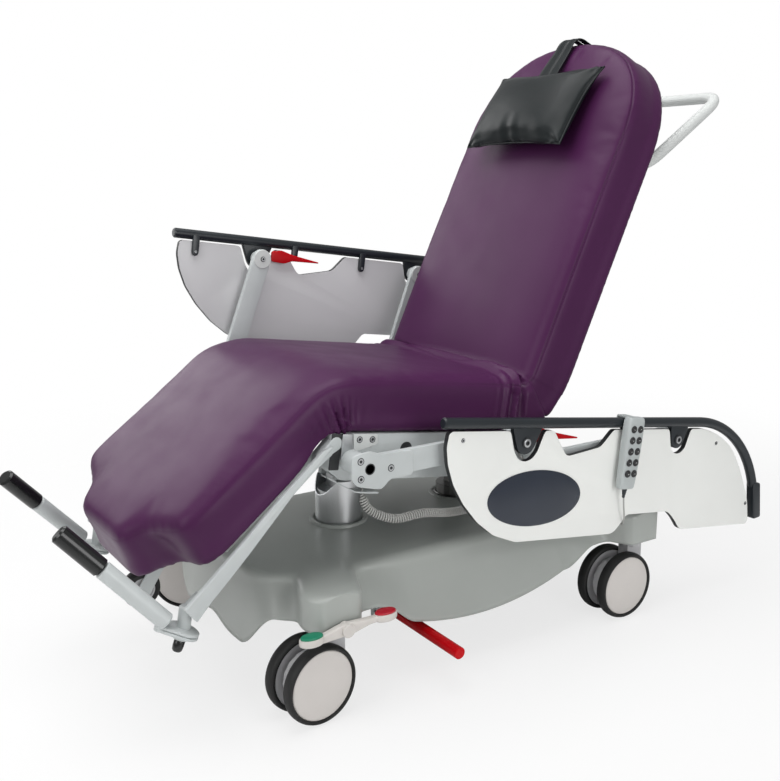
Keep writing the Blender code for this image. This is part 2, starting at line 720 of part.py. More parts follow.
def build_back(back):
    """The board behind the back cushion, with its hinge ears, and the push bar on it."""
    low = BACK_FRONT - BACK_THICK - GAP - 0.015
    high = low + 0.015
    top = BACK_TOP - 0.020
    widest = BEAM_OUT + 0.004
    levels = [*np.linspace(top - HEAD_ROUND, top - 0.004, 9)]
    side = [(head_half(y, top, widest), y) for y in levels]
    outline = [(-x, y) for x, y in side[::-1]] + [(-widest, 0.034), (widest, 0.034)] + side
    curve = bpy.data.curves.new("board", "CURVE")
    curve.dimensions = "2D"
    curve.fill_mode = "BOTH"
    curve.extrude = (high - low) / 2
    spline = curve.splines.new("POLY")
    spline.points.add(len(outline) - 1)
    for point, (x, y) in zip(spline.points, outline):
        point.co = (x, y, 0.0, 1.0)
    spline.use_cyclic_u = True
    mesh = curve_mesh(curve)
    mesh.transform(Matrix.Translation((0, 0, (low + high) / 2)))
    board = piece("back_board", mesh, PAINT, back)
    for way in (-1, 1):
        near, far = sorted((way * RAIL_X, way * (RAIL_X + 0.008)))
        ear = [*arc((0, 0), 0.018, 60, 250, 9), (0.040, low), (0.150, low), (0.150, high), (0.080, high)]
        join(board, plate(ear, near, far))
        join(board, rod((way * (BEAM_OUT - 0.0095), 0, 0), (way * (RAIL_X + 0.004), 0, 0), HINGE_PIN, 12))
    root = low - GAP
    path = [
        (PUSH_BAR_X, PUSH_BAR_ROOT, root - 0.001),
        (PUSH_BAR_X, PUSH_BAR_ROOT, root - 0.012),
        (PUSH_BAR_X, PUSH_BAR_ROOT + 0.017, root - 0.034),
        (PUSH_BAR_X, PUSH_BAR_ROOT + 0.050, root - 0.060),
        (PUSH_BAR_X, PUSH_BAR_ROOT + 0.207, root - 0.156),
    ]
    corner = PUSH_BAR_ROOT + 0.232
    bend = [(PUSH_BAR_X - 0.010, corner, root - 0.171), (PUSH_BAR_X - 0.033, corner + 0.010, root - 0.177)]
    half = path + bend
    bar = half + [(-x, y, z) for x, y, z in half[::-1]]
    bar = piece("push_bar", tube(bar, PUSH_BAR_RADIUS, 2), PAINT, back)
    for way in (-1, 1):
        spot = (way * PUSH_BAR_X, PUSH_BAR_ROOT, root)
        join(bar, rod(spot, (spot[0], spot[1], root - 0.005), 0.026, 14))


def build_leg(leg):
    """The leg rest's board and side rails with a flange at each foot corner, and a roller below."""
    low = LEG_LOW - GAP - 0.0143
    foot = LEG_BOARD_END
    reach = RAIL_X + 0.004
    board = block((-reach, foot, low), (reach, -0.034, LEG_LOW - GAP))
    frame = piece("leg_frame", board, PAINT, leg)
    for side in (-1, 1):
        near, far = sorted((side * RAIL_X, side * (RAIL_X + RAIL_THICK)))
        outline = [
            *arc((0, 0), 0.018, -60, 150, 9),
            (-0.040, 0.006),
            (RAIL_END, 0.006),
            (RAIL_END, -0.030),
            (-0.060, -0.030),
        ]
        centre = Vector((side * FLANGE[0], FLANGE[1], FLANGE[2]))
        shelf = sorted((side * (BEAM_OUT - 0.037), side * (RAIL_X + 0.008)))
        lift = Vector((0, 0, 0.010))
        join(
            frame,
            plate(outline, near, far),
            rod((side * (BEAM_OUT - 0.0255), 0, 0), (side * reach, 0, 0), HINGE_PIN, 12),
            block((shelf[0], RAIL_END, -0.030), (shelf[1], RAIL_END + 0.030, -0.018)),
            rod(centre - FLANGE_AXIS * FLANGE_THICK, centre, FLANGE_RADIUS),
            rod(centre - FLANGE_AXIS * 0.040 + lift, centre - FLANGE_AXIS * 0.003, 0.012),
        )
    lug_x = -0.135 + 0.0085
    bottom = low + 0.004
    lug = [(-0.050, bottom), (-0.075, bottom), (-0.040, -0.082), (-0.020, -0.082), (-0.020, -0.066)]
    join(frame, plate(lug, lug_x, lug_x + 0.008))
    y, z = ROLLER_AT
    under = low - GAP
    base = block((-0.032, foot + 0.004, under - 0.006), (0.032, foot + 0.060, under))
    fork = piece("roller_fork", base, PAINT, leg)
    for side in (-1, 1):
        near, far = sorted((side * (ROLLER_HALF + 0.002), side * (ROLLER_HALF + 0.007)))
        cheek = [
            (foot + 0.050, under - 0.002),
            (foot + 0.010, under - 0.002),
            *arc((y, z), 0.013, 100, 290, 9),
            (foot + 0.040, low - 0.020),
        ]
        join(fork, plate(cheek, near, far))
    join(fork, rod((-ROLLER_HALF - 0.006, y, z), (ROLLER_HALF + 0.006, y, z), 0.005, 12))
    spin = axis("axis_roller", leg, (0.0, y, z))
    profile = [
        (0.0055, ROLLER_HALF),
        (ROLLER_RADIUS - 0.006, ROLLER_HALF),
        (ROLLER_RADIUS, ROLLER_HALF - 0.006),
        (ROLLER_RADIUS, 0.006 - ROLLER_HALF),
        (ROLLER_RADIUS - 0.006, -ROLLER_HALF),
        (0.0055, -ROLLER_HALF),
    ]
    lathe("roller_wheel", profile, RUBBER, spin)


def build_handle(leg, name, side):
    """A foot handle on its swivelling flange, with its grip and the plunger that locks it."""
    centre = Vector((side * FLANGE[0], FLANGE[1], FLANGE[2]))
    swivel = axis("axis_handle_" + name, leg, centre)
    lean = Vector((side * HANDLE_AXIS.x, HANDLE_AXIS.y, HANDLE_AXIS.z))
    across = FLANGE_AXIS.cross(Vector((1, 0, 0)))
    across *= math.copysign(1.0, across.z)
    plate_low, plate_high = GAP, GAP + FLANGE_THICK
    disc = rod(FLANGE_AXIS * plate_low, FLANGE_AXIS * plate_high, FLANGE_RADIUS)
    handle = piece("handle_tube_" + name, disc, PAINT, swivel)
    foot = across * HANDLE_FOOT[0] + FLANGE_AXIS * HANDLE_FOOT[1]
    top = foot + lean * (HANDLE_LENGTH - GRIP_LENGTH)
    tab = across * (FLANGE_RADIUS + 0.008)
    web = across * (FLANGE_RADIUS + 0.018) + FLANGE_AXIS * (plate_high - 0.001)
    join(
        handle,
        rod(tab + FLANGE_AXIS * plate_low, tab + FLANGE_AXIS * plate_high, HANDLE_RADIUS),
        rod(web, foot, 0.009),
        rod(foot - lean * 0.012, top, HANDLE_RADIUS),
        rod(FLANGE_AXIS * (plate_low + 0.001), FLANGE_AXIS * (plate_high + 0.008), 0.0145, 12),
    )
    grip = rod(top + lean * GAP, top + lean * GRIP_LENGTH, HANDLE_RADIUS + 0.0008)
    soften(piece("handle_grip_" + name, grip, BLACK, swivel), 0.003)
    pull = axis("axis_plunger_" + name, swivel, FLANGE_AXIS * (plate_high + 0.0085))
    knob = rod((0, 0, 0), FLANGE_AXIS * 0.022, 0.0095, 12, 0.0075)
    soften(piece("handle_plunger_" + name, knob, BLACK, pull), 0.002)


def build_cushions(seat, leg, back):
    """The three pads of the mattress, and the pillow with the strap that hangs it over the head end."""
    top = LEG_LOW + LEG_THICK
    rows = []
    for y, half in (
        (FOOT_TONGUE, TONGUE_HALF - 0.02),
        (FOOT_TONGUE + 0.022, TONGUE_HALF),
        (FOOT_SHOULDER - 0.030, 0.190),
        (FOOT_SHOULDER + 0.004, MATTRESS_HALF - 0.012),
        (FOOT_SHOULDER + 0.045, MATTRESS_HALF),
        (-0.120, MATTRESS_HALF),
        (-0.040, MATTRESS_HALF),
        (-0.013, MATTRESS_HALF),
    ):
        lean = FOOT_LEAN * min(max((FOOT_SHOULDER + 0.100 - y) / 0.100, 0.0), 1.0)
        rows.append((y, y + lean, half, LEG_LOW, top))
    cushion("leg_cushion", rows, VINYL, leg)
    slant = FOLD[0] - 0.004
    rows = [
        (-0.170, -0.170, MATTRESS_HALF, DECK_TOP + GAP, SEAT_TOP),
        (-0.145, -0.145, MATTRESS_HALF, DECK_TOP + GAP, SEAT_TOP),
        (0.030, 0.030, MATTRESS_HALF, DECK_TOP + GAP, SEAT_TOP),
        (0.200, 0.180, MATTRESS_HALF, DECK_TOP + GAP, SEAT_TOP),
        (0.225, 0.205, MATTRESS_HALF, DECK_TOP + GAP, SEAT_TOP),
        (0.245, 0.225, HINGE_NARROW, DECK_TOP + GAP, SEAT_TOP),
        (slant - 0.020, 0.245, HINGE_NARROW, DECK_TOP + GAP, SEAT_TOP),
        (slant, 0.268, HINGE_NARROW, DECK_TOP + GAP, SEAT_TOP),
    ]
    cushion("seat_cushion", rows, VINYL, seat)
    low = BACK_FRONT - BACK_THICK
    rows = [
        (0.004, FOLD_SET + 0.002, HINGE_NARROW, low, BACK_FRONT),
        (0.030, FOLD_SET + 0.022, HINGE_NARROW, low, BACK_FRONT),
        (0.085, 0.085, HINGE_NARROW, low, BACK_FRONT),
        (0.105, 0.105, MATTRESS_HALF, low, BACK_FRONT),
        (0.320, 0.320, MATTRESS_HALF, low, BACK_FRONT),
    ]
    for share in (0.0, 0.30, 0.58, 0.80, 0.93, 1.0):
        y = BACK_TOP - HEAD_ROUND * (1 - share)
        half = max(head_half(y, BACK_TOP + 0.006, MATTRESS_HALF), 0.05)
        rows.append((y, y, half, low, BACK_FRONT))
    cushion("back_cushion", rows, VINYL, back)
    width, height, thick = PILLOW
    front = BACK_FRONT + PILLOW_SET
    rows = []
    for share, swell in ((0.0, 0.20), (0.14, 0.62), (0.38, 1.0), (0.62, 1.0), (0.86, 0.62), (1.0, 0.20)):
        y = PILLOW_Y + (share - 0.5) * height
        middle = front + PILLOW_LEAN * (1 - 2 * share)
        half = thick / 2 * swell
        rows.append((y, y, width / 2 * (1.0 - 0.03 * swell), middle - half, middle + half))
    cushion("pillow", rows, PILLOW_SKIN, back, crown=0.012, tuck=-0.004, firm=0.0)
    strap_top = BACK_TOP + 0.004
    end = PILLOW_Y + height / 2 + GAP
    rear = low - GAP - 0.015
    skin = 0.0025
    centre = [
        (end, front - PILLOW_LEAN),
        (end + 0.012, front - PILLOW_LEAN - 0.004),
        (strap_top - 0.026, BACK_FRONT + 0.014),
        (strap_top, BACK_FRONT + 0.003),
        (strap_top + 0.010, BACK_FRONT - 0.024),
        (strap_top + 0.010, low + 0.014),
        (strap_top, low - 0.008),
        (strap_top - 0.016, rear - 0.006),
        (strap_top - 0.036, rear - GAP - skin / 2),
        (strap_top - 0.090, rear - GAP - skin / 2),
    ]
    upper, lower = [], []
    for i, point in enumerate(centre):
        before, after = centre[max(i - 1, 0)], centre[min(i + 1, len(centre) - 1)]
        dy, dz = after[0] - before[0], after[1] - before[1]
        size = math.hypot(dy, dz)
        upper.append((point[0] - dz / size * skin / 2, point[1] + dy / size * skin / 2))
        lower.append((point[0] + dz / size * skin / 2, point[1] - dy / size * skin / 2))
    piece("pillow_strap", plate(upper + lower[::-1], -0.021, 0.021), PILLOW_SKIN, back)


def panel_outline():
    """The side panel's outline in the rail's frame, with the bracket notches and the hand window."""
    front = [(-0.185, 0.025), (-0.1915, 0.019), (-0.194, -0.006), (-0.186, -0.040), (-0.168, -0.078)]
    front += [(-0.139, -0.116), (-0.100, -0.153), (-0.055, -0.182), (0.005, -0.200)]
    low = [(0.280, -0.202), (0.302, -0.178), (0.314, -0.162)]
    rear = [(0.002, -0.162), (0.026, -0.180), (0.052, -0.207), (0.292, -0.209), (0.298, -0.200)]
    rear += [(0.285, -0.150), (0.237, -0.072), (0.195, -0.023), (0.148, 0.006), (0.088, 0.024)]
    rear += [(0.040, 0.025), (0.028, -0.016), *arc((0.004, -0.006), 0.024, -30, -150, 5), (-0.032, 0.025)]
    rear = [(ARM_SPACING + y, z) for y, z in rear]
    window = [(0.239, 0.025), (0.206, -0.012), (0.113, -0.030), (0.070, 0.025)]
    notch = [(0.046, 0.025), (0.032, -0.016), *arc((0.002, -0.006), 0.030, -20, -160, 5), (-0.044, 0.025)]
    return front + low + rear + window + notch


def rail_path():
    """The rail's centre line: straight, then curving down behind the panel."""
    straight = [(y, RAIL_HEIGHT) for y in (-0.205, -0.10, 0.20, ARM_SPACING + 0.056)]
    bend = arc((ARM_SPACING + 0.071, RAIL_HEIGHT - 0.250), 0.250, 86, 22, 9)
    return straight + bend


def build_armrest(seat, name, side, lift):
    """One armrest: two arms from the seat beam, the rail with its brackets, the panel and the lever."""
    low, high = sorted((side * ARM_X, side * (ARM_X + ARM_THICK)))
    half = ARM_WIDTH / 2
    stud_end = PANEL_X + PANEL_THICK + 0.004
    shank = [*arc((0, 0), half, 90, 270, 7), *arc((ARM_LENGTH, 0), half, -90, 90, 7)]
    for spot, offset in (("front", 0.0), ("rear", ARM_SPACING)):
        pivot = axis("axis_arm_" + name + "_" + spot, seat, (0, ARM_PIVOT[0] + offset, ARM_PIVOT[1]), lift)
        arm = piece("arm_" + name + "_" + spot, plate(shank, low, high), PAINT, pivot)
        join(
            arm,
            rod((side * RAIL_X, 0, 0), (side * (ARM_X + 0.002), 0, 0), ARM_BOSS),
            rod((side * (BEAM_X + 0.011), 0, 0), (side * (RAIL_X + 0.002), 0, 0), 0.010, 12),
            rod((side * (ARM_X + 0.010), ARM_LENGTH, 0), (side * (PANEL_X - GAP), ARM_LENGTH, 0), HUB_RADIUS),
            rod((side * (PANEL_X - 0.004), ARM_LENGTH, 0), (side * stud_end, ARM_LENGTH, 0), PIVOT_STUD),
        )
        if spot == "rear":
            continue
        hub = [(-0.030, 0.022), (0.020, 0.034), (0.050, 0.022), (0.060, -0.022), (0.030, -0.044)]
        hub += [(-0.012, -0.042), (-0.030, -0.022)]
        near, far = sorted((side * (ARM_X + ARM_THICK - 0.001), side * (ARM_X + ARM_THICK + 0.005)))
        join(arm, plate(hub, near, far))
        if side > 0:
            join(arm, rod((ARM_X + 0.001, ARM_LENGTH, 0), (ARM_X - 0.018, ARM_LENGTH, 0), 0.009, 12))
        carrier = axis("axis_rail_" + name, pivot, (0, ARM_LENGTH, 0), -lift)
    near, far = sorted((side * PANEL_X, side * (PANEL_X + PANEL_THICK)))
    centre = side * (PANEL_X + PANEL_THICK / 2)
    rail = piece("rail_" + name, tube([(centre, y, z) for y, z in rail_path()], RAIL_TUBE, 2), BLACK, carrier)
    for y in (0.0, ARM_SPACING):
        bracket = [(y - 0.040, RAIL_HEIGHT), *arc((y, 0), 0.024, 200, 340, 5), (y + 0.040, RAIL_HEIGHT)]
        if y:
            bracket = [(y - 0.028, RAIL_HEIGHT), *arc((y, 0), 0.020, 200, 340, 5), (y + 0.032, RAIL_HEIGHT)]
        join(rail, plate(bracket, near, far))
        start, end = (side * (PANEL_X - 0.015), y, 0), (side * (PANEL_X + 0.035), y, 0)
        cut(rail, rod(start, end, PIVOT_STUD + PIN_PLAY, 12))
    tab_near, tab_far = sorted((side * (PANEL_X - 0.008), side * (PANEL_X - GAP)))
    for y in (-0.155, 0.285):
        tab = [(y - 0.007, RAIL_HEIGHT), (y - 0.007, -0.005), (y + 0.007, -0.005), (y + 0.007, RAIL_HEIGHT)]
        join(rail, plate(tab, tab_near, tab_far))
    end = rail_path()[-1]
    block_near, block_far = sorted((side * (PANEL_X - 0.004), side * (PANEL_X + PANEL_THICK + 0.006)))
    bumper = [(-0.012, 0.010), (0.014, 0.010), (0.036, -0.075), (0.010, -0.080)]
    bumper = [(end[0] + y, end[1] + z) for y, z in bumper]
    join(rail, plate(bumper, block_near, block_far))
    piece("panel_" + name, plate(panel_outline(), near, far), LAMINATE, carrier)
    pull = axis("axis_lever_" + name, carrier, (0, LEVER_PIN[0], LEVER_PIN[1]))
    lever_near, lever_far = sorted((side * (PANEL_X - 0.0135), side * (PANEL_X - 0.0090)))
    lever = [(-0.030, 0.014), (-0.002, 0.018), (0.026, 0.010), (0.098, -0.002), (0.026, -0.004)]
    lever += [(0.006, -0.012), (-0.028, -0.010)]
    lever = piece("release_lever_" + name, plate(lever, lever_near, lever_far), RED, pull)
    join(lever, rod((side * (PANEL_X - 0.011), 0, 0), (side * (PANEL_X - GAP), 0, 0), LEVER_PIN_RADIUS))
    return carrier


def build_handset(carrier):
    """The hand control hooked on the left rail, and its pad of keys."""
    deep, wide, tall = HANDSET
    face = PANEL_X + PANEL_THICK + 0.0065
    low, high = HANDSET_LOW, HANDSET_LOW + tall
    start, end = HANDSET_Y - wide / 2, HANDSET_Y + wide / 2
    body = piece("handset_body", block((face, start, low), (face + deep, end, high)), LAMINATE, carrier)
    over = RAIL_HEIGHT + RAIL_TUBE + GAP
    inner = PANEL_X + PANEL_THICK / 2 - RAIL_TUBE - GAP
    hook = (HANDSET_Y - 0.012, HANDSET_Y + 0.012)
    join(
        body,
        block((inner - 0.004, hook[0], over), (face + 0.004, hook[1], over + 0.004)),
        block((inner - 0.004, hook[0], RAIL_HEIGHT + 0.001), (inner, hook[1], over + 0.002)),
    )
    front = face + deep + GAP
    mat = block((front, start + 0.006, low + 0.030), (front + 0.0012, end - 0.006, high - 0.010))
    pad = piece("handset_keypad", mat, BLACK, carrier)
    for row in range(5):
        for column in (-1, 1):
            y = HANDSET_Y + column * 0.0095
            z = high - 0.024 - row * 0.0235
            join(pad, rod((front + 0.0006, y, z), (front + 0.0028, y, z), 0.0062, 7, 0.0054))


def build_cords(seat, carrier):
    """The curly cord below the seat, from its socket to the arm, and the straight lead to the handset."""
    beam_low = BEAM_BOTTOM - GAP
    centre_x = BEAM_OUT + 0.0265
    end_x = ARM_X - 0.010
    socket_x = BEAM_OUT - 0.010
    arm_end = (ARM_PIVOT[0] + ARM_LENGTH * math.cos(ARM_DOWN), ARM_PIVOT[1] + ARM_LENGTH * math.sin(ARM_DOWN))
    finish = arm_end[1] - 0.009 - GAP
    socket = rod((socket_x, -0.100, beam_low), (socket_x, -0.100, beam_low - 0.016), 0.009)
    piece("cord_socket", socket, BLACK, seat)
    route = [
        (socket_x, -0.100, beam_low - 0.016 - GAP),
        (socket_x, -0.100, beam_low - 0.030),
        (BEAM_OUT, -0.085, beam_low - 0.058),
        (BEAM_OUT + 0.018, -0.040, beam_low - 0.072),
        (centre_x, 0.020, beam_low - 0.062),
        (centre_x, 0.090, beam_low - 0.064),
        (centre_x + 0.006, 0.150, beam_low - 0.050),
        (end_x - 0.001, arm_end[0] - 0.010, beam_low - 0.010),
        (end_x, arm_end[0], finish - 0.030),
        (end_x, arm_end[0], finish),
    ]
    count = CURLS * POINTS_PER_CURL
    spine = smooth_path(route, count + 1)
    step = np.gradient(spine, axis=0)
    step /= np.linalg.norm(step, axis=1)[:, None]
    side = np.cross(step, [0.0, 0.6, 0.8])
    side /= np.linalg.norm(side, axis=1)[:, None]
    other = np.cross(step, side)
    turn = 2 * math.pi * np.arange(count + 1) / POINTS_PER_CURL
    share = np.arange(count + 1) / count
    ease = np.clip(np.minimum(share, 1 - share) / 0.035 - 0.6, 0, 1)[:, None] * CURL_RADIUS
    curls = spine + ease * (side * np.cos(turn)[:, None] + other * np.sin(turn)[:, None])
    far = np.linalg.norm(curls[:, None] - curls[None], axis=2)
    index = np.arange(count + 1)
    near = np.abs(index[:, None] - index[None]) < POINTS_PER_CURL * 0.7
    print("curly cord: least gap to itself %.2f mm" % (1000 * (far[~near].min() - 2 * CORD_RADIUS)))
    piece("handset_curly_cord", tube(curls, CORD_RADIUS, 1), LEAD_GREY, seat)
    face = PANEL_X + PANEL_THICK + 0.0065 + HANDSET[0] / 2
    lane = PANEL_X - 0.009
    route = [
        (face, HANDSET_Y, HANDSET_LOW - GAP),
        (face, HANDSET_Y, HANDSET_LOW - 0.012),
        (face - 0.002, 0.283, -0.135),
        (face - 0.008, 0.297, -0.165),
        (face - 0.020, 0.309, -0.182),
        (PANEL_X, 0.312, -0.184),
        (lane + 0.002, 0.306, -0.178),
        (lane, 0.285, -0.160),
        (lane, 0.220, -0.125),
        (lane, 0.140, -0.090),
        (lane, 0.070, -0.060),
        (lane, 0.025, -0.042),
        (lane, 0.005, -0.030),
        (lane, 0.0, -HUB_RADIUS - GAP),
    ]
    piece("handset_lead", tube(smooth_path(route, 42), CORD_RADIUS, 2), LEAD_GREY, carrier)


def build_pedals():
    """The castor brake's rocker pedal with its two pads, and the red foot lever under the cover's edge."""
    y, z = PEDAL_PIVOT
    rocker = axis("axis_brake_pedal", None, (0.0, y, z))
    low, high = PEDAL_X, PEDAL_X + PEDAL_WIDTH
    bar = [(-0.076, -0.008), (-0.050, -0.010), (0.0, -0.011), (0.050, 0.000), (0.090, 0.000)]
    bar += [(0.090, 0.010), (0.046, 0.010), (0.0, 0.010), (-0.050, 0.002), (-0.076, 0.002)]
    pedal = piece("brake_pedal", plate(bar, low, high), PALE, rocker)
    middle = (low + high) / 2
    pads = (("green", -0.070, 0.002, GREEN), ("red", 0.084, 0.010, RED))
    for name, along, top, look in pads:
        join(pedal, oval((middle, along, top - 0.011), (middle, along, top + 0.001), 0.021, 0.014))
        pad = oval((middle, along, top + 0.001 + GAP), (middle, along, top + 0.005), 0.0185, 0.0115)
        piece("brake_pad_" + name, pad, look, rocker)
    join(pedal, rod((low - 0.001, 0, 0), (high + 0.004, 0, 0), 0.0125, 12))
    cut(pedal, rod((low - 0.01, 0, 0), (low + 0.0135, 0, 0), 0.006 + PIN_PLAY, 12))
    pivot_x, pivot_z = LEVER_FOOT_PIVOT
    foot = axis("axis_foot_lever", None, (pivot_x, LEVER_FOOT_Y, pivot_z))
    reach = LEVER_FOOT_END - pivot_x
    lever = piece("foot_lever", rod((0.004, 0, 0), (reach, 0.002, -0.004), LEVER_FOOT_RADIUS, 12), RED, foot)
    join(
        lever,
        rod((0, -0.0232, 0), (0, 0.0232, 0), 0.013, 12),
        rod((0, -0.033, 0), (0, 0.033, 0), 0.005, 12),
    )


def oval(start, end, along, across):
    """An upright disc that is longer in y than in x."""
    mesh = rod(start, end, 1.0, 14)
    for vert in mesh.vertices:
        vert.co.x = start[0] + (vert.co.x - start[0]) * across
        vert.co.y = start[1] + (vert.co.y - start[1]) * along
    return mesh


def build():
    build_chassis()
    build_cover()
    build_columns()
    for name, (side, stem_y, swivel) in CASTORS.items():
        build_castor(name, side, stem_y, swivel)
    build_pedals()
    seat = axis("axis_tilt", None, (0.0, COLUMN_Y, TILT_PIN_Z), -SEAT_TILT)
    leg = axis("axis_leg", seat, (0.0, *KNEE), LEG_DROP)
    back = axis("axis_back", seat, (0.0, *FOLD), BACK_RISE)
    build_seat(seat)
    build_leg(leg)
    build_back(back)
    for name, side in (("left", 1), ("right", -1)):
        build_handle(leg, name, side)
    build_cushions(seat, leg, back)
    left = build_armrest(seat, "left", 1, ARM_DOWN)
    build_armrest(seat, "right", -1, ARM_UP)
    build_handset(left)
    build_cords(seat, left)


build()
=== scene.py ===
"""The looks of the dialysis chair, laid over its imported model.

Metres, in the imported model's frame: +X is the patient's left, +Y runs towards the head and +Z is up.
"""

import math

import bmesh
import bpy
import numpy as np
from mathutils import Matrix, Vector


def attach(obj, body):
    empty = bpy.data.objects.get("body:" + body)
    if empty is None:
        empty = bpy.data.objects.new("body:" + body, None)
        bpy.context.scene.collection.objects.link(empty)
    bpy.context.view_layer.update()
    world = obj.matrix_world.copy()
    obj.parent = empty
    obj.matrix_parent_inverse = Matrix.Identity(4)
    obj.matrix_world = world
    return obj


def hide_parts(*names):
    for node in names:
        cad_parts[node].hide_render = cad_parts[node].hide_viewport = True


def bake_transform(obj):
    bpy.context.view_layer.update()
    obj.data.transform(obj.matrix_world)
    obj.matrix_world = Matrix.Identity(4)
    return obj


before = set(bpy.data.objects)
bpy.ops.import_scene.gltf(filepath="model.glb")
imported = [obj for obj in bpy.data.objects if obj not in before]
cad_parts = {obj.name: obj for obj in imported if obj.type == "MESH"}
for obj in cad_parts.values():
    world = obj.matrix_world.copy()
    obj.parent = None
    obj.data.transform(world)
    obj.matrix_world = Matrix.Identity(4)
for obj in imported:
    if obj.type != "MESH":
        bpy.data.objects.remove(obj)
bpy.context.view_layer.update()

# Frames of the moving parts, as the part's source has them
TILT_PIN = (0.0, -0.156, 0.360)
SEAT_TILT = -7.86
KNEE = (-0.175, 0.115)
LEG_DROP = 46.2
FOLD = (0.3075, 0.1916)
BACK_RISE = 72.6
ARM_PIVOT = (-0.142, 0.084)
ARM_LENGTH = 0.343
ARM_SPACING = 0.444
ARM_LIFT = {"left": 8.0, "right": 77.0}
SIDES = {"left": 1.0, "right": -1.0}

# Mattress
FOOT_END = -0.390
FOOT_LEAN = 0.016
LEG_TOP = 0.1080
SEAT_TOP = 0.240
BACK_FRONT = 0.0484
HEAD_END = 0.8250
HEAD_ROUND = 0.250
HEAD_POWER = 2.3
MATTRESS_HALF = 0.2680
KNEE_ROUND = 0.160
FOLD_ROUND = 0.015
LEG_THICK = 0.0980
SEAT_THICK = 0.1050
BACK_THICK = 0.1110
EDGE_TOP = 0.026
EDGE_LOW = 0.011
FOOT_LENGTH = 0.16
MATTRESS_VOXEL = 0.008
MATTRESS_CAP = 0.007
SEAT_CUT = 0.045

# Pillow
PILLOW = (0.315, 0.196, 0.062)
PILLOW_AT = (0.0, 0.628, 0.0905)
PILLOW_LEAN = -9.0
PILLOW_PULL = 0.014
PILLOW_CAP = 0.012
PILLOW_VOXEL = 0.005

# Castors
WHEEL_RADIUS = 0.075
WHEEL_INNER = 0.0165
WHEEL_OUTER = 0.0440
TRAIL = 0.047
STEM_X = 0.287
STEM_Y = (-0.345, 0.440)
CASTORS = {
    "front_left": (STEM_X, STEM_Y[0], 6.0),
    "rear_left": (STEM_X, STEM_Y[1], 0.0),
    "front_right": (-STEM_X, STEM_Y[0], -25.0),
    "rear_right": (-STEM_X, STEM_Y[1], 12.0),
}

# Base
COLUMNS = {"front": -0.156, "rear": -0.156 + 0.319 * math.cos(math.radians(SEAT_TILT))}
COLUMN_FOOT = 0.076
COLUMN_RADIUS = 0.050
COLUMN_BORE = 0.0465
COLUMN_TOP = 0.345
REAR_COLUMN_TOP = 0.255
HOOD_TOP = 0.240
HOOD_WALL = 0.003
HOOD_Y = 0.0375
HOOD_RIM = np.array([0.285, -0.455, 0.530])
HOOD_CAP = np.array([0.210, -0.425, 0.500])
HOOD_ARM = (0.165, 0.055)
HOOD_LINE = 0.270
HOOD_HOUSING = 0.057
HOOD_BLEND = 0.024
HOOD_LOW = 0.095
HOOD_OVER_CASTORS = 0.170
HOOD_HALF = 0.3305

# Armrests
ARM_X = 0.315
ARM_THICK = 0.012
ARM_WIDTH = 0.044
PANEL_X = 0.345
PANEL_THICK = 0.012
RAIL_TUBE = 0.011
RAIL_HEIGHT = 0.038
LEVER_PIN = (0.060, 0.006)

# Hand control and its cords
HANDSET_Y = 0.276
HANDSET_LOW = -0.098
HANDSET_SIZE = (0.022, 0.048, 0.152)
HANDSET_FACE = PANEL_X + PANEL_THICK + 0.0065
CORD_RADIUS = 0.0017
CURL_RADIUS = 0.0072
CURLS = 92

# Foot handles, roller and push bar
FLANGE = (0.238, -0.414, -0.046)
FLANGE_AXIS = np.array([0.0, -0.867, -0.5]) / math.hypot(0.867, 0.5)
FLANGE_UP = np.array([0.0, -0.5, 0.867]) / math.hypot(0.867, 0.5)
HANDLE_LEAN = np.array([-0.24, -0.05, 0.97]) / math.sqrt(0.24**2 + 0.05**2 + 0.97**2)
HANDLE_FOOT = (0.046, -0.018)
HANDLE_RADIUS = 0.016
HANDLE_LENGTH = 0.228
GRIP_LENGTH = 0.095
ROLLER_AT = (-0.412, -0.060)
PUSH_BAR_X = 0.215
PUSH_BAR_ROOT = 0.575
PUSH_BAR_RADIUS = 0.0125
BOARD_REAR = -0.0669

# Stage and the photograph's camera
FLOOR_FADE = (0.9, 2.6)
FLOOR_GLOW = 0.76
ROOM_LIGHT = 0.40
LAMPS = (
    ("ceiling_softbox", (0.0, -0.4, 3.0), (0.0, 0.0, 0.5), 2.4, 60.0),
    ("front_softbox", (0.4, -3.2, 1.9), (0.0, 0.0, 0.6), 1.8, 30.0),
    ("side_fill", (3.2, 0.2, 1.2), (0.0, 0.1, 0.5), 1.6, 34.0),
    ("far_softbox", (-2.9, -0.9, 2.0), (0.0, 0.0, 0.6), 2.2, 36.0),
)
EYE = (1.7358, -1.1768, 0.9671)
EYE_AZIMUTH, EYE_PITCH, EYE_ROLL = 56.357, 12.286, -0.186
FOCAL_PIXELS = 981.0
PHOTO_PIXELS = 781.0
SENSOR = 36.0


def cos_sin(degrees):
    return math.cos(math.radians(degrees)), math.sin(math.radians(degrees))


def turned(origin, degrees):
    """A frame turned about x: y and z are rotated by the angle, then moved to the origin."""
    c, s = cos_sin(degrees)

    def carry(points):
        x, y, z = np.moveaxis(np.asarray(points, float), -1, 0)
        return np.stack([origin[0] + x, origin[1] + c * y - s * z, origin[2] + s * y + c * z], axis=-1)

    return carry


def heading(carry, way):
    """A direction as a frame turns it."""
    return carry(way) - carry(np.zeros(3))


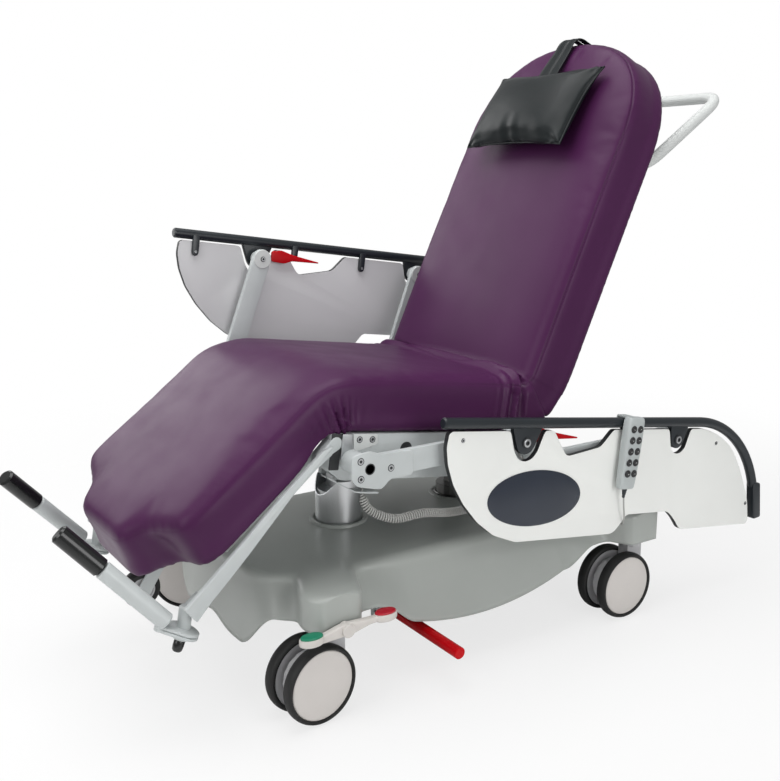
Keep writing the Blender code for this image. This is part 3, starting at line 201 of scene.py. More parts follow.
seat = turned(TILT_PIN, SEAT_TILT)
leg = turned(seat((0.0, *KNEE)), SEAT_TILT + LEG_DROP)
back = turned(seat((0.0, *FOLD)), SEAT_TILT + BACK_RISE)
arm = {s: turned(seat((0.0, *ARM_PIVOT)), SEAT_TILT + a) for s, a in ARM_LIFT.items()}
rear_pivot = seat((0.0, ARM_PIVOT[0] + ARM_SPACING, ARM_PIVOT[1]))
rear_arm = {s: turned(rear_pivot, SEAT_TILT + a) for s, a in ARM_LIFT.items()}
rail = {s: turned(arm[s]((0.0, ARM_LENGTH, 0.0)), SEAT_TILT) for s in SIDES}
outward = {s: side * np.array([1.0, 0.0, 0.0]) for s, side in SIDES.items()}


# Finishes


def add_node(tree, kind, inputs, **settings):
    """A new shader node: plain values are set on its sockets, and other nodes' outputs are linked to them."""
    node = tree.nodes.new("ShaderNode" + kind)
    for key, value in settings.items():
        setattr(node, key, value)
    for key, value in inputs.items():
        if isinstance(value, bpy.types.NodeSocket):
            tree.links.new(value, node.inputs[key])
        else:
            node.inputs[key].default_value = value
    return node


class Finish:
    """A Principled material whose colour, roughness and bump come from noise in Object coordinates."""

    def __init__(self, name, roughness, metallic=0.0, specular=0.5):
        self.material = bpy.data.materials.new(name)
        self.material.use_nodes = True
        self.tree = self.material.node_tree
        self.shader = self.tree.nodes["Principled BSDF"]
        self.shader.inputs["Metallic"].default_value = metallic
        self.shader.inputs["Roughness"].default_value = roughness
        self.shader.inputs["Specular IOR Level"].default_value = specular
        self.place = add_node(self.tree, "TexCoord", {}).outputs["Object"]
        self.normal = None

    def noise(self, scale, detail=3.0, stretch=None):
        """Noise of so many features to the metre, stretched by the three factors."""
        place = self.place
        if stretch is not None:
            place = add_node(self.tree, "Mapping", {"Vector": place, "Scale": stretch}).outputs["Vector"]
        inputs = {"Vector": place, "Scale": scale, "Detail": detail}
        return add_node(self.tree, "TexNoise", inputs).outputs["Fac"]

    def cells(self, scale):
        """Distance to the nearest cell's edge, as in the grain of leather."""
        inputs = {"Vector": self.place, "Scale": scale}
        return add_node(self.tree, "TexVoronoi", inputs, feature="DISTANCE_TO_EDGE").outputs["Distance"]

    def spread(self, value, low, high, start=0.3, end=0.7):
        """A value's range from start to end, carried to low to high."""
        inputs = {"Value": value, "From Min": start, "From Max": end, "To Min": low, "To Max": high}
        return add_node(self.tree, "MapRange", inputs).outputs["Result"]

    def math(self, kind, first, second):
        return add_node(self.tree, "Math", {0: first, 1: second}, operation=kind).outputs[0]

    def attribute(self, name):
        return add_node(self.tree, "Attribute", {}, attribute_name=name).outputs["Fac"]

    def mix(self, factor, first, second):
        """Two colours mixed by a factor; each is a colour or another mix."""
        a, b = ((*colour, 1.0) if isinstance(colour, tuple) else colour for colour in (first, second))
        inputs = {"Factor": factor, "A": a, "B": b}
        return add_node(self.tree, "Mix", inputs, data_type="RGBA").outputs["Result"]

    def colour(self, colour):
        self.tree.links.new(colour, self.shader.inputs["Base Color"])

    def roughness(self, value):
        self.tree.links.new(value, self.shader.inputs["Roughness"])

    def bump(self, height, depth, strength=1.0):
        """Adds a relief of the depth in metres to the ones before it."""
        inputs = {"Strength": strength, "Distance": depth, "Height": height}
        if self.normal is not None:
            inputs["Normal"] = self.normal
        self.normal = add_node(self.tree, "Bump", inputs).outputs["Normal"]
        self.tree.links.new(self.normal, self.shader.inputs["Normal"])


def shade(colour, factor):
    return tuple(channel * factor for channel in colour)


def painted(name, colour, roughness, peel=300.0, depth=0.00002, metallic=0.0, mottle=0.06, specular=0.5):
    """Sprayed or moulded finish: slight mottling, an uneven gloss, and a fine skin where it has depth."""
    made = Finish(name, roughness, metallic, specular)
    broad = made.noise(9.0)
    made.colour(made.mix(made.spread(broad, 0.0, 1.0), shade(colour, 1 - mottle), shade(colour, 1 + mottle)))
    made.roughness(made.spread(made.noise(12.0), roughness - 0.02, roughness + 0.03))
    if depth:
        made.bump(made.noise(peel, 2.0), depth, 0.35)
    return made.material


def brushed(name, colour, roughness, stretch):
    """Metal with fine lines along one direction."""
    made = Finish(name, roughness, 1.0)
    lines = made.noise(900.0, 2.0, stretch)
    made.colour(made.mix(lines, shade(colour, 0.90), shade(colour, 1.08)))
    made.roughness(made.spread(lines, roughness - 0.06, roughness + 0.08))
    made.bump(lines, 0.00004, 0.3)
    return made.material


def upholstery(name, colour, roughness, grain, specular, seam=None):
    """Coated fabric: leather cells, faint rubbed patches, and a stitched seam where the depth says, its
    groove darkened with painted shade.
    """
    made = Finish(name, roughness, 0.0, specular)
    rubbed = made.noise(5.0, 4.0)
    skin = made.mix(made.spread(rubbed, 0.0, 1.0), shade(colour, 0.93), shade(colour, 1.07))
    cells = made.spread(made.cells(grain), 0.0, 1.0, 0.0, 0.16)
    skin = made.mix(made.spread(cells, 0.10, 0.0, 0.0, 1.0), skin, shade(colour, 0.5))
    if seam is not None:
        off = made.math("ABSOLUTE", made.math("SUBTRACT", made.attribute("below"), seam), 0.0)
        groove = made.spread(off, 1.0, 0.0, 0.0, 0.0030)
        near_rim = made.spread(made.attribute("rim"), 1.0, 0.0, 0.016, 0.024)
        groove = made.math("MULTIPLY", groove, near_rim)
        groove = made.math("MULTIPLY", groove, made.spread(made.attribute("along"), 0.15, 0.8, 0.75, 1.05))
        thread = made.math("SINE", made.math("MULTIPLY", made.attribute("along"), 1150.0), 0.0)
        thread = made.math("MULTIPLY", made.spread(thread, 0.0, 1.0, -0.2, 0.6), groove)
        # The seam's groove is darkened towards a third of the colour: painted shade in the seam.
        skin = made.mix(made.math("MULTIPLY", groove, 0.45), skin, shade(colour, 0.35))
        skin = made.mix(made.math("MULTIPLY", thread, 0.25), skin, shade(colour, 1.6))
        made.bump(made.spread(groove, 1.0, 0.0, 0.0, 1.0), 0.0016, 1.0)
    made.colour(skin)
    made.roughness(made.spread(made.noise(16.0), roughness - 0.03, roughness + 0.04))
    made.bump(cells, 0.00004, 0.3)
    made.bump(made.noise(14.0, 2.0), 0.0006, 0.15)
    return made.material


VINYL = upholstery("plum_vinyl", (0.060, 0.0120, 0.058), 0.40, 950.0, 0.18, 0.012)
LEATHERETTE = upholstery("black_leatherette", (0.011, 0.014, 0.015), 0.36, 1100.0, 0.20)
GREY_PAINT = painted("grey_enamel", (0.50, 0.53, 0.53), 0.36)
PALE_PAINT = painted("pale_enamel", (0.62, 0.64, 0.63), 0.34, depth=0.0)
HOOD_PLASTIC = painted("hood_moulding", (0.360, 0.380, 0.360), 0.32, depth=0.0, mottle=0.02)
LAMINATE = painted("white_laminate", (0.80, 0.81, 0.785), 0.38, depth=0.0, mottle=0.012)
# The panels' inner faces get this grey, darker than the white outer faces.
GREY_INNER_FACE = painted("grey_inner_face", (0.58, 0.58, 0.59), 0.42, depth=0.0, mottle=0.012)
# Dark laminate core for the panel edges. The same dark is painted shade in screw recesses, bores, the girder
# hole and the knee gap.
CORE_AND_SHADE = painted("dark_laminate_core_and_painted_shade", (0.018, 0.020, 0.022), 0.50)
BLACK = painted("black_moulding", (0.012, 0.016, 0.020), 0.32, 500.0, 0.00004)
GLOSS_BLACK = painted("gloss_black_grip", (0.008, 0.009, 0.009), 0.20, 300.0, 0.00003)
RUBBER = painted("tyre_rubber", (0.012, 0.012, 0.012), 0.55, 700.0, 0.00006, specular=0.35)
DISC = painted("pale_wheel_disc", (0.60, 0.57, 0.545), 0.42, 350.0, 0.00005, mottle=0.03)
HUB_PLASTIC = painted("grey_hub", (0.44, 0.44, 0.45), 0.38)
PEDAL_PLASTIC = painted("pale_pedal", (0.60, 0.57, 0.54), 0.42)
RED = painted("red_enamel", (0.50, 0.002, 0.006), 0.30, depth=0.0, specular=0.15)
GREEN = painted("green_pad", (0.0, 0.200, 0.105), 0.42, 700.0, 0.00012)
RED_PAD = painted("red_pad", (0.40, 0.004, 0.018), 0.42, 700.0, 0.00012)
STEEL = brushed("brushed_steel", (0.70, 0.71, 0.72), 0.34, (1.0, 1.0, 0.02))
# A dark copy of the brushed steel for the rear column and ram: painted shade for the dark area behind the
# arm.
SHADED_STEEL = brushed("painted_shade_steel", (0.16, 0.16, 0.155), 0.38, (1.0, 1.0, 0.02))
BOLT = brushed("zinc_bolt", (0.50, 0.51, 0.52), 0.34, (0.1, 1.0, 1.0))
HANDSET_SHELL = painted("grey_handset", (0.42, 0.45, 0.45), 0.42, 600.0, 0.00010)
KEY_BLACK = painted("black_keys", (0.012, 0.012, 0.013), 0.45, 800.0)
MARK = painted("pale_key_mark", (0.70, 0.71, 0.70), 0.5)
CORD = painted("grey_cord", (0.36, 0.36, 0.345), 0.50, 900.0)
BADGE = painted("dark_plaque", (0.016, 0.022, 0.036), 0.24, depth=0.0)


# Surfaces


def unit(vector):
    vector = np.asarray(vector, float)
    return vector / np.linalg.norm(vector, axis=-1, keepdims=True)


def ramp(value, start, width):
    """0 up to the start, then rising to 1 over the width."""
    return np.clip((value - start) / width, 0, 1)


def around(count):
    """Evenly spaced angles round a circle."""
    return np.linspace(0, 2 * math.pi, count, endpoint=False)


def ring_faces(rows, columns):
    """Quads between neighbouring rings, the last column joined to the first."""
    i, j = np.meshgrid(np.arange(rows - 1), np.arange(columns), indexing="ij")
    k = (j + 1) % columns
    row, after = i * columns, (i + 1) * columns
    return np.stack([row + j, row + k, after + k, after + j], axis=-1).reshape(-1, 4)


def solid(name, grids, look, body, nodes=(), row_looks=None, caps=True, sharp=38.0):
    """A piece from grids of rings (rows, columns, 3), each closed by its first and last ring.

    look is one material, or several with row_looks giving each ring strip's index.
    """
    looks = [look] if isinstance(look, bpy.types.Material) else list(look)
    points, faces, indices, base = [], [], [], 0
    for grid in grids if isinstance(grids, list) else [grids]:
        rows, columns = grid.shape[:2]
        quads = ring_faces(rows, columns) + base
        faces += quads.tolist()
        strips = np.zeros(rows - 1, int) if row_looks is None else np.asarray(row_looks)
        indices.append(np.repeat(strips, columns))
        if caps:
            first = np.arange(columns) + base
            faces += [first.tolist(), (first + (rows - 1) * columns).tolist()]
            indices.append(np.array([strips[0], strips[-1]]))
        points.append(grid.reshape(-1, 3))
        base += rows * columns
    mesh = bpy.data.meshes.new(name)
    mesh.from_pydata(np.concatenate(points).tolist(), [], faces)
    mesh.polygons.foreach_set("material_index", np.concatenate(indices).astype(np.int32))
    return settle(name, mesh, looks, body, nodes, sharp)


def linked(name, data):
    """A new object in the scene."""
    made = bpy.data.objects.new(name, data)
    bpy.context.scene.collection.objects.link(made)
    return made


def settle(name, mesh, looks, body, nodes, sharp):
    """Welds a new mesh, turns its faces outwards, and hands the piece to its body."""
    shape = bmesh.new()
    shape.from_mesh(mesh)
    bmesh.ops.remove_doubles(shape, verts=shape.verts, dist=1e-6)
    bmesh.ops.recalc_face_normals(shape, faces=shape.faces)
    shape.to_mesh(mesh)
    shape.free()
    for look in looks:
        mesh.materials.append(look)
    mesh.shade_smooth()
    mesh.set_sharp_from_angle(angle=math.radians(sharp))
    made = linked(name, mesh)
    if body is not None:
        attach(made, body)
    if nodes:
        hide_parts(*nodes)
    return made


def turned_rings(profile, centre, direction, steps):
    """Each (radius, height) of the profile is a circle about the direction, at its height from the centre."""
    way = unit(direction)
    guide = np.array([0.0, 0.0, 1.0]) if abs(way[2]) < 0.9 else np.array([1.0, 0.0, 0.0])
    side = unit(np.cross(way, guide))
    other = np.cross(way, side)
    angle = around(steps)[:, None]
    circle = np.cos(angle) * side + np.sin(angle) * other
    profile = np.asarray(profile, float)[:, :, None, None]
    return np.asarray(centre) + profile[:, 1] * way + profile[:, 0] * circle[None]


def rounded(corners, radius, steps):
    """An outline whose corners are quadratic curves that start and end a radius from the corner."""
    p = np.asarray(corners, float)
    before, after = np.roll(p, 1, 0) - p, np.roll(p, -1, 0) - p
    size_before, size_after = np.linalg.norm(before, axis=1), np.linalg.norm(after, axis=1)
    reach = np.minimum(np.broadcast_to(radius, len(p)), 0.46 * np.minimum(size_before, size_after))[:, None]
    start, end = p + before / size_before[:, None] * reach, p + after / size_after[:, None] * reach
    t = np.linspace(0, 1, steps)[:, None, None]
    curve = (1 - t) ** 2 * start + 2 * t * (1 - t) * p + t**2 * end
    return curve.transpose(1, 0, 2).reshape(-1, 2)


def arc(centre, radius, start, end, count):
    """Points of an arc in degrees, as (y, z)."""
    a = np.radians(np.linspace(start, end, count))
    return np.stack([centre[0] + radius * np.cos(a), centre[1] + radius * np.sin(a)], axis=1).tolist()


def slab(outline, low, high, edge):
    """A plate: an outline in y, z carried from x = low to x = high, its edges rounded by quarter circles."""
    outline = np.asarray(outline, float)
    ahead = np.roll(outline, -1, 0) - np.roll(outline, 1, 0)
    area = np.sum(outline[:, 0] * np.roll(outline[:, 1], -1) - np.roll(outline[:, 0], -1) * outline[:, 1])
    inward = unit(np.stack([-ahead[:, 1], ahead[:, 0]], axis=1) + 1e-12) * np.sign(area)
    turn = np.radians([0.0, 30.0, 60.0, 90.0])
    inset, across = edge * (1 - np.sin(turn)), edge * (1 - np.cos(turn))
    x = np.concatenate([low + across, (high - across)[::-1]])
    inset = np.concatenate([inset, inset[::-1]])
    flat = outline[None] + inward[None] * inset[:, None, None]
    return np.concatenate([np.broadcast_to(x[:, None, None], (*flat.shape[:2], 1)), flat], axis=2)


def plate(carry, outline, side, low, high, edge, radius=None, steps=5):
    """A slab on one side of the chair, from one distance off its middle plane to another, in a frame."""
    near, far = sorted((side * low, side * high))
    return carry(slab(outline if radius is None else rounded(outline, radius, steps), near, far, edge))


def sewn_sheets(name, top, low):
    """Two grids of points (rows, columns, 3), closed by a wall round their edges."""
    rows, columns = top.shape[:2]
    offset = rows * columns
    index = np.arange(offset).reshape(rows, columns)
    quads = np.stack([index[:-1, :-1], index[:-1, 1:], index[1:, 1:], index[1:, :-1]], axis=-1).reshape(-1, 4)
    loop = np.concatenate([index[0, :-1], index[:-1, -1], index[-1, :0:-1], index[:0:-1, 0]])
    after = np.roll(loop, -1)
    wall = np.stack([loop, after, after + offset, loop + offset], axis=1)
    faces = np.concatenate([quads, quads[:, ::-1] + offset, wall])
    mesh = bpy.data.meshes.new(name)
    mesh.from_pydata(np.concatenate([top.reshape(-1, 3), low.reshape(-1, 3)]).tolist(), [], faces.tolist())
    return mesh


def smooth_path(points, count):
    """Evenly spaced points on a Catmull-Rom curve through the given ones."""
    points = np.asarray(points, float)
    knots = np.concatenate([2 * points[:1] - points[1:2], points, 2 * points[-1:] - points[-2:-1]])
    t = np.linspace(0, 1, 40, endpoint=False)[None, :, None]
    a, b, c, d = (knots[i : len(knots) - 3 + i, None] for i in range(4))
    fine = 0.5 * (2 * b + (c - a) * t + (2 * a - 5 * b + 4 * c - d) * t**2 + (3 * b - a - 3 * c + d) * t**3)
    fine = np.concatenate([fine.reshape(-1, 3), points[-1:]])
    return even_path(fine, count)


def reach_along(points):
    """How far along a line each of its points lies."""
    return np.concatenate([[0], np.cumsum(np.linalg.norm(np.diff(points, axis=0), axis=1))])


def even_path(points, count):
    """The same line with its points spaced evenly."""
    reach = reach_along(points)
    at = np.linspace(0, reach[-1], count)
    return np.stack([np.interp(at, reach, points[:, k]) for k in range(points.shape[1])], axis=1)


def tangents(path):
    """The way along a line at each of its points."""
    return unit(np.gradient(path, axis=0))


def length_of(path):
    return float(np.linalg.norm(np.diff(path, axis=0), axis=1).sum())


def bar(path, radius, plane, steps, ends):
    """A round bar: circles square to a path, the last of them drawn in by a share of the radius."""
    path = np.asarray(path, float)
    tangent = tangents(path)
    side = unit(np.cross(tangent, np.asarray(plane, float)))
    other = np.cross(tangent, side)
    size = np.full(len(path), radius, float)
    if ends:
        rows = np.r_[0, np.arange(len(path)), len(path) - 1]
        path, side, other, size = path[rows], side[rows], other[rows], size[rows]
        path[1] += tangent[0] * (radius * ends)
        path[-2] -= tangent[-1] * (radius * ends)
        size[[0, -1]] = radius * (1 - ends)
    angle = around(steps)[None, :, None]
    circle = np.cos(angle) * side[:, None] + np.sin(angle) * other[:, None]
    return path[:, None] + size[:, None, None] * circle


def screw_heads(name, spots, direction, radius, height, body):
    """Countersunk screws: a zinc face, with painted shade as a dark ring round the head and in the recess
    turned into it.
    """
    shares = [(1, 0.6), (0.80, 1), (0.44, 1), (0.40, 0.9), (0.36, 0.25), (0.05, 0.20)]
    profile = [(radius, -0.001)] + [(radius * wide, height * high) for wide, high in shares]
    grids = [turned_rings(profile, spot, direction, 20) for spot in spots]
    solid(name, grids, [BOLT, CORE_AND_SHADE], body, row_looks=[1, 1, 0, 1, 1, 1])


# Mattress


def fillet_line(corners, radii, count):
    """A line through corners, each inner one replaced by an arc of its radius, with evenly spaced points."""
    p = np.asarray(corners, float)
    parts = [p[:1]]
    for before, corner, after, radius in zip(p, p[1:], p[2:], radii):
        into, out = unit(corner - before), unit(after - corner)
        half = math.acos(np.clip(into @ out, -1, 1)) / 2
        reach = radius * math.tan(half)
        bend = math.copysign(1.0, into[0] * out[1] - into[1] * out[0])
        inward = bend * np.array([-into[1], into[0]])
        centre = corner - into * reach + inward * radius
        turn = np.linspace(0, 2 * half, 40)[:, None] * bend
        spoke = -inward
        square = np.array([-spoke[1], spoke[0]])
        parts.append(centre + radius * (spoke * np.cos(turn) + square * np.sin(turn)))
    parts.append(p[-1:])
    return even_path(np.concatenate(parts), count)


def in_seat(origin, degrees, y, z):
    """A point of a frame hinged on the seat, in the seat's own (along, up)."""
    c, s = cos_sin(degrees)
    return np.array([origin[0] + c * y - s * z, origin[1] + s * y + c * z])


def meets_seat(hinge, degrees, up):
    """How far along a hinged part its top, so far up from the hinge, meets the seat's top."""
    c, s = cos_sin(degrees)
    return (SEAT_TOP - hinge[1] - c * up) / s


def top_line(count):
    """The mattress's top line in the seat's plane: leg rest, knee, seat, fold and back."""
    knee_y, fold_y = meets_seat(KNEE, LEG_DROP, LEG_TOP), meets_seat(FOLD, BACK_RISE, BACK_FRONT)
    corners = [
        in_seat(KNEE, LEG_DROP, FOOT_END, LEG_TOP),
        in_seat(KNEE, LEG_DROP, knee_y, LEG_TOP),
        in_seat(FOLD, BACK_RISE, fold_y, BACK_FRONT),
        in_seat(FOLD, BACK_RISE, HEAD_END, BACK_FRONT),
    ]
    line = fillet_line(corners, (KNEE_ROUND, FOLD_ROUND), count)
    return line, knee_y - FOOT_END, knee_y - FOOT_END + corners[2][0] - corners[1][0]


LINE, KNEE_ALONG, FOLD_ALONG = top_line(700)
LINE_ALONG = reach_along(LINE)
LINE_END = LINE_ALONG[-1]
TONGUE = np.array([
    [0.000, 0.084], [0.003, 0.103], [0.012, 0.121], [0.028, 0.134], [0.046, 0.156], [0.060, 0.186],
    [0.070, 0.216], [0.080, 0.242], [0.092, 0.258], [0.110, 0.2655], [0.135, MATTRESS_HALF],
])


def half_width(along):
    """Half the mattress's width: the foot tongue's outline, straight sides, then a rounded head."""
    foot = np.interp(along, TONGUE[:, 0], TONGUE[:, 1])
    head = ramp(along, LINE_END - HEAD_ROUND, HEAD_ROUND)
    return foot * np.maximum(1 - head**HEAD_POWER, 0.0) ** (1 / HEAD_POWER)


def thickness(along):
    """The mattress's thickness, eased from the leg rest to the seat and from the seat to the back."""
    steps = [KNEE_ALONG - 0.10, KNEE_ALONG + 0.02, FOLD_ALONG - 0.05, FOLD_ALONG + 0.04]
    return np.interp(along, steps, [LEG_THICK, SEAT_THICK, SEAT_THICK, BACK_THICK])


def rim_distance(along, x):
    """Distance in plan from points to the mattress's outline, as a polyline on both sides."""
    foot = np.linspace(0, FOOT_LENGTH, 60)
    head = LINE_END - HEAD_ROUND * (1 - np.sin(np.linspace(0, math.pi / 2, 60)))
    steps = np.concatenate([foot, head])
    outline = np.stack([steps, half_width(steps)], axis=1)
    outline = np.concatenate([[[0.0, 0.0]], outline, [[LINE_END, 0.0]]])
    start, step = outline[:-1], np.diff(outline, axis=0)
    points = np.stack([along.ravel(), np.abs(x).ravel()], axis=1)
    least = np.full(len(points), 1.0)
    for a, d in zip(start, step):
        t = np.clip(((points - a) @ d) / max(d @ d, 1e-12), 0, 1)[:, None]
        least = np.minimum(least, np.linalg.norm(points - a - t * d, axis=1))
    return least.reshape(along.shape)


def line_point(along):
    """Places and upward normals on the top line."""
    place = np.stack([np.interp(along, LINE_ALONG, LINE[:, k]) for k in (0, 1)], axis=-1)
    slope = tangents(LINE)
    way = unit(np.stack([np.interp(along, LINE_ALONG, slope[:, k]) for k in (0, 1)], axis=-1))
    return place, np.stack([-way[..., 1], way[..., 0]], axis=-1)


def mattress_cage():
    """Two sheets over (along, across), a thickness apart, that round over to a wall at the outline.

    A sheet drops by r - sqrt(r^2 - (r - d)^2) within r of the outline, where d is the distance to it.
    The lower sheet reaches further at the foot, so that the foot's end leans.
    """
    foot = FOOT_LENGTH * np.linspace(0, 1, 34) ** 1.5
    middle = np.linspace(FOOT_LENGTH, LINE_END - HEAD_ROUND, 130)[1:-1]
    head = LINE_END - HEAD_ROUND + HEAD_ROUND * np.sin(np.linspace(0, math.pi / 2, 44))
    steps = np.concatenate([foot, middle, head[:-1], [LINE_END - 1e-4]])
    across = np.sin(np.linspace(-1, 1, 45) * math.pi / 2)
    along, t = np.meshgrid(steps, across, indexing="ij")
    x = half_width(along) * t
    d = rim_distance(along, x)
    place, up = line_point(along)

    def drop(radius):
        short = np.clip(1 - d / radius, 0, 1)
        return radius * (1 - np.sqrt(np.maximum(1 - short**2, 0)))

    crown = 0.006 * (1 - t**2) * np.clip(d / 0.08, 0, 1)
    top = place + up * (crown - drop(EDGE_TOP))[..., None]
    onward = np.stack([up[..., 1], -up[..., 0]], axis=-1)
    lean = FOOT_LEAN * np.clip(1 - along / 0.14, 0, 1)
    low = place - up * (thickness(along) - drop(EDGE_LOW))[..., None] - onward * lean[..., None]
    sheets = [seat(np.concatenate([x[..., None], sheet], axis=-1)) for sheet in (top, low)]
    return sewn_sheets("mattress_cage", *sheets)


def read_points(mesh, kind="co"):
    """A mesh's points, or its normals where the kind says so."""
    values = np.empty(len(mesh.vertices) * 3)
    mesh.vertices.foreach_get(kind, values)
    return values.reshape(-1, 3)


def write_points(mesh, points):
    mesh.vertices.foreach_set("co", points.astype(np.float32).ravel())
    mesh.update()


def evaluated(holder):
    """An object's mesh as its modifiers leave it."""
    graph = bpy.context.evaluated_depsgraph_get()
    return bpy.data.meshes.new_from_object(holder.evaluated_get(graph))


def applied(mesh, *modifiers):
    """The mesh with modifiers applied: each is (type, settings)."""
    holder = linked("holder", mesh)
    for kind, settings in modifiers:
        modifier = holder.modifiers.new(kind.lower(), kind)
        for key, value in settings.items():
            setattr(modifier, key, value)
    made = evaluated(holder)
    bpy.data.objects.remove(holder, do_unlink=True)
    return made


FINER = ("SUBSURF", {"levels": 1, "render_levels": 1})


def puffed(mesh, pressure, cap, loose, frames=20):
    """Cloth blown up from inside. A point's move levels off at the cap and is scaled by how loose it is."""
    holder = linked("cloth", mesh)
    cloth = holder.modifiers.new("cloth", "CLOTH")
    cloth.settings.use_pressure = True
    cloth.settings.uniform_pressure_force = pressure
    cloth.settings.tension_stiffness = 18.0
    cloth.settings.compression_stiffness = 18.0
    cloth.settings.bending_stiffness = 1.2
    cloth.settings.effector_weights.gravity = 0.0
    cloth.collision_settings.use_self_collision = False
    cloth.point_cache.frame_start = 1
    cloth.point_cache.frame_end = frames
    scene = bpy.context.scene
    for step in range(1, frames + 1):
        scene.frame_set(step)
    blown = evaluated(holder)
    scene.frame_set(1)
    rest, moved = read_points(mesh), read_points(blown)
    bpy.data.objects.remove(holder, do_unlink=True)
    move = moved - rest
    size = np.linalg.norm(move, axis=1, keepdims=True)
    move *= cap / (cap + size) * loose(rest)[:, None]
    write_points(mesh, rest + move)
    return mesh


def from_room(points):
    """Seat-frame (x, along, up) of points in the chair's frame."""
    c, s = cos_sin(SEAT_TILT)
    y, z = points[:, 1] - TILT_PIN[1], points[:, 2] - TILT_PIN[2]
    return np.stack([points[:, 0], c * y + s * z, -s * y + c * z], axis=1)


def mattress_place(points):
    """(along, below, x) of points: the nearest place on the top line, and the depth under it."""
    local = from_room(points)
    flat = local[:, 1:]
    best, along, below = np.full(len(flat), 1e9), np.zeros(len(flat)), np.zeros(len(flat))
    for k in range(0, len(LINE) - 1, 4):
        a, b = LINE[k], LINE[min(k + 4, len(LINE) - 1)]
        d = b - a
        t = np.clip(((flat - a) @ d) / (d @ d), 0, 1)
        off = flat - a - t[:, None] * d
        far = np.linalg.norm(off, axis=1)
        near = far < best
        best[near] = far[near]
        along[near] = (LINE_ALONG[k] + t * np.linalg.norm(d))[near]
        below[near] = (far * np.sign(d[1] * off[:, 0] - d[0] * off[:, 1]))[near]
    return along, below, local[:, 0]


def ridge(distance, width):
    return np.exp(-((distance / width) ** 2))


def creases(along, below, x):
    """How far each point moves out along its normal: folds at the seat's crease, the inner knee and the foot.

    Ridges are bell curves about lines in (along, across). Side pleats are sines of along that fade out.
    """
    side = np.abs(x)
    at_side = ramp(side, 0.20, 0.04)
    on_top = np.clip(1 - below / 0.03, 0, 1)
    on_wall = ramp(below, 0.006, 0.02) * at_side
    reach = FOLD_ALONG - along
    wave = 0.012 * np.sin(7 * x + 0.6)
    out = 0.0110 * ridge(reach - 0.034 - wave, 0.014) * on_top
    out -= 0.0100 * ridge(reach - 0.013 - 0.8 * wave, 0.008) * on_top
    slanted = (
        (0.056, 0.20, -0.10, -0.05, 0.11, 0.0065, 0.0058, 0.017),
        (0.058, -0.24, 0.16, 0.17, 0.08, 0.0090, 0.0080, 0.018),
    )
    for ahead, slope, start, middle, spread, height, depth, apart in slanted:
        off = reach - ahead - slope * (x - start)
        span = ridge(x - middle, spread)
        out += height * ridge(off, 0.010) * span * on_top
        out -= depth * ridge(off + apart, 0.007) * span * on_top
    pleat = np.sin((along - FOLD_ALONG) * 2 * math.pi / 0.021 + 16 * below + 1.2 * np.sin(60 * along))
    fan = ridge(along - FOLD_ALONG + 0.034, 0.036) * np.clip(reach / 0.010, 0, 1)
    out += 0.0066 * pleat * fan * on_wall
    out += 0.0056 * pleat * fan * on_top * ramp(side, 0.18, 0.05)
    gather = np.sin((along - KNEE_ALONG) * 2 * math.pi / 0.024 + 26 * below + 0.8 * np.sin(50 * along))
    span = ridge(along - KNEE_ALONG + 0.010, 0.046)
    out += 0.0050 * gather * span * ramp(below, 0.030, 0.03) * at_side
    notch = ridge(along - 0.058, 0.011) * ramp(below, 0.014, 0.02)
    return out - 0.0060 * notch


def add_field(mesh, name, values):
    field = mesh.attributes.new(name, "FLOAT", "POINT")
    field.data.foreach_set("value", values.astype(np.float32))


def make_mattress():
    """The whole mattress, puffed and creased, then cut in two across the seat."""
    mesh = applied(mattress_cage(), ("REMESH", {"mode": "VOXEL", "voxel_size": MATTRESS_VOXEL}))

    def loose(points):
        along, below, _ = mattress_place(points)
        return np.clip((thickness(along) * 0.86 - below) / 0.02, 0, 1)

    mesh = applied(mesh, ("SMOOTH", {"factor": 0.5, "iterations": 4}))
    mesh = puffed(mesh, 4.0, MATTRESS_CAP, loose)
    mesh = applied(mesh, ("SMOOTH", {"factor": 0.5, "iterations": 3}), FINER)
    along, below, x = mattress_place(read_points(mesh))
    lift = 0.012 * ridge(along - KNEE_ALONG + 0.085, 0.045) * ramp(below, 0.05, 0.03)
    move = (creases(along, below, x) - lift)[:, None]
    write_points(mesh, read_points(mesh) + read_points(mesh, "normal") * move)
    middle = seat((0.0, SEAT_CUT, SEAT_TOP))
    across = seat((0.0, 1.0 + SEAT_CUT, SEAT_TOP)) - middle
    halves = (
        ("leg_mattress", True, ("leg_cushion", "seat_cushion"), ("leg_rest", "seat"), leg, 0.075),
        ("back_mattress", False, ("back_cushion",), ("seat", "back_rest"), back, 0.028),
    )
    for name, front, nodes, bodies, hinged, reach in halves:
        half = mesh.copy()
        half.name = name
        shape = bmesh.new()
        shape.from_mesh(half)
        cut = bmesh.ops.bisect_plane(
            shape, geom=[*shape.verts, *shape.edges, *shape.faces], plane_co=middle, plane_no=across,
            clear_outer=front, clear_inner=not front,
        )
        rim = [e for e in cut["geom_cut"] if isinstance(e, bmesh.types.BMEdge)]
        bmesh.ops.contextual_create(shape, geom=rim)
        shape.to_mesh(half)
        shape.free()
        along, below, x = mattress_place(read_points(half))
        add_field(half, "along", along)
        add_field(half, "below", below)
        add_field(half, "rim", rim_distance(along, x))
        made = settle(name, half, [VINYL], None, nodes, 60.0)
        ahead = (0.0, 1.0, 0.0)
        way = unit(heading(hinged, ahead) + seat(ahead) - seat(np.zeros(3)))
        hinge = hinged(np.zeros(3))
        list(bodies)
        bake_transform(made)


# Pillow


def pillow_frame(points):
    """The pillow's own frame: turned to lean on the back, then placed on it."""
    return back(turned(PILLOW_AT, PILLOW_LEAN)(points))


